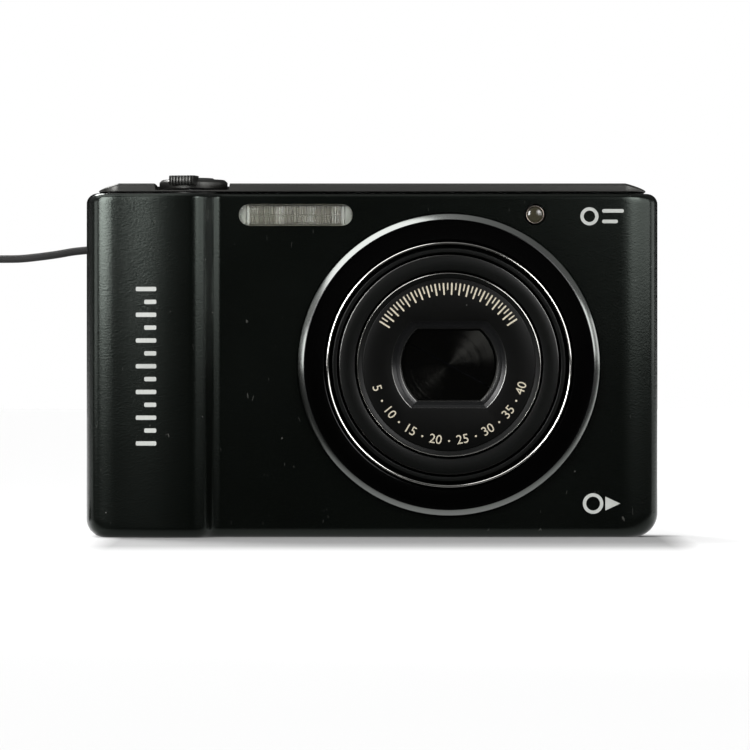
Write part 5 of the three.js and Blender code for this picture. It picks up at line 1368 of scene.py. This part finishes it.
# A triangle whose tip points in a direction
def arrow(u, v, degrees, size):
    a = np.radians(np.array([0, 130, 230]) + degrees)
    return np.stack([u + size * np.cos(a), v + size * np.sin(a)], -1)


def makeCornerMarks():
    face = shell["face"]
    marks = [printedRing(36.0, 53.2, 1.5, 0.95, face),
             printed(roundRect(39.9, 54.1, 3.6, 0.6, 0.25, 4)(), face),
             printed(roundRect(39.4, 52.35, 2.6, 0.6, 0.25, 4)(), face),
             printedRing(36.6, 5.6, 1.7, 1.15, face), printed(arrow(39.6, 5.6, 0, 1.5), face)]
    return addMarks("cornerMarks", "camera", "pale", marks)


# A number as a thin solid about its own middle, in millimetres
def numberSurface(text, size):
    curve = bpy.data.curves.new("digits", "FONT")
    curve.body, curve.size, curve.extrude = text, size, 0.04
    curve.align_x, curve.align_y, curve.resolution_u = "CENTER", "CENTER", 4
    holder = placed("digits", curve)
    bpy.context.view_layer.update()
    mesh = meshNow(holder)
    points = np.zeros(len(mesh.vertices) * 3)
    mesh.vertices.foreach_get("co", points)
    faces = [list(polygon.vertices) for polygon in mesh.polygons]
    bpy.data.objects.remove(holder)
    return points.reshape(-1, 3), faces


scale = dict(face=-9.3, tickEnd=13.55, tickFrom=148, tickTo=34, ticks=39, numberAt=12.55, numberSize=2.15,
             dotAt=12.6, dot=0.17, fromAngle=198, toAngle=342,
             numbers=("5", "10", "15", "20", "25", "30", "35", "40"))


# Ticks over the top of the front ring and plain numbers round its lower half, as on a scale, with a dot
# between two numbers. A number's foot points away from the axis.
def makeRingMarks():
    face, numbers = scale["face"], scale["numbers"]
    marks = []
    for i, degrees in enumerate(np.linspace(scale["tickFrom"], scale["tickTo"], scale["ticks"])):
        length, width = (1.2, 0.2) if i % 2 else (2.0, 0.26)
        tick = roundRect(scale["tickEnd"] - length / 2, 0, length, width, 0.09, 3)()
        marks.append(printed(np.stack(acrossLens(*tick.T, degrees), -1), face, 0.02))
    for text, degrees in zip(numbers, np.linspace(scale["fromAngle"], scale["toAngle"], len(numbers))):
        points, faces = numberSurface(text, scale["numberSize"])
        x, z = acrossLens(scale["numberAt"], 0, degrees)
        u, v = rotated(points[:, 0], points[:, 1], degrees + 90)
        marks.append((onAxis("Y", x + u, z + v, face + points[:, 2] * 0.7), faces))
    for degrees in np.linspace(scale["fromAngle"], scale["toAngle"], 2 * len(numbers) - 1)[1::2]:
        dot = circle(*acrossLens(scale["dotAt"], 0, degrees), scale["dot"], 16)()
        marks.append(printed(dot, face, 0.02))
    return addMarks("ringMarks", "lens_inner", "ink", marks)


# Plain signs on the back: three bars, three dots, a triangle, a bin and four arrows
def makeKeySigns():
    def onKey(name, shapes, face=10.09):
        addMarks(name + "Sign", name, "white", [printed(shape, face, -0.03) for shape in shapes])
    u, v = keySpots["menu"]
    onKey("menu", [roundRect(u, v + step, 2.4, 0.32, 0.1, 3)() for step in (-0.75, 0, 0.75)])
    u, v = keySpots["function"]
    onKey("function", [circle(u + step, v, 0.28, 20)() for step in (-0.95, 0, 0.95)])
    onKey("playback", [arrow(*keySpots["playback"], 180, 0.95)])
    u, v = keySpots["delete"]
    onKey("delete", [roundRect(u, v - 0.25, 1.3, 1.5, 0.2, 3)(), roundRect(u, v + 0.85, 1.9, 0.3, 0.1, 3)()])
    arrows = []
    for degrees in (0, 90, 180, 270):
        u, v = rotated(7.3, 0, degrees)
        arrows.append(printed(arrow(padSpot[0] + u, padSpot[1] + v, degrees, 0.6), 10.16, -0.03))
    addMarks("padSigns", "pad", "white", arrows)


makeGripMarks()
makeCornerMarks()
makeRingMarks()
makeKeySigns()
print("marks made")

# The CAD nodes that stay get their finishes
kept = dict(
    battery="cell", battery_holder="plastic", memory_card="card", chassis="steel", main_board="board",
    image_sensor_board="board", zoom_motor="steel", switch_board="board", flash_capacitor="can",
    lcd_panel="steel", battery_latch="key", battery_door_pin="steel", battery_door="rear", strap_pin="steel")


def dressNodes():
    for name, kind in kept.items():
        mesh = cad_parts[name].data
        mesh.materials.clear()
        mesh.materials.append(finishes[kind])


dressNodes()
print("kept nodes dressed")
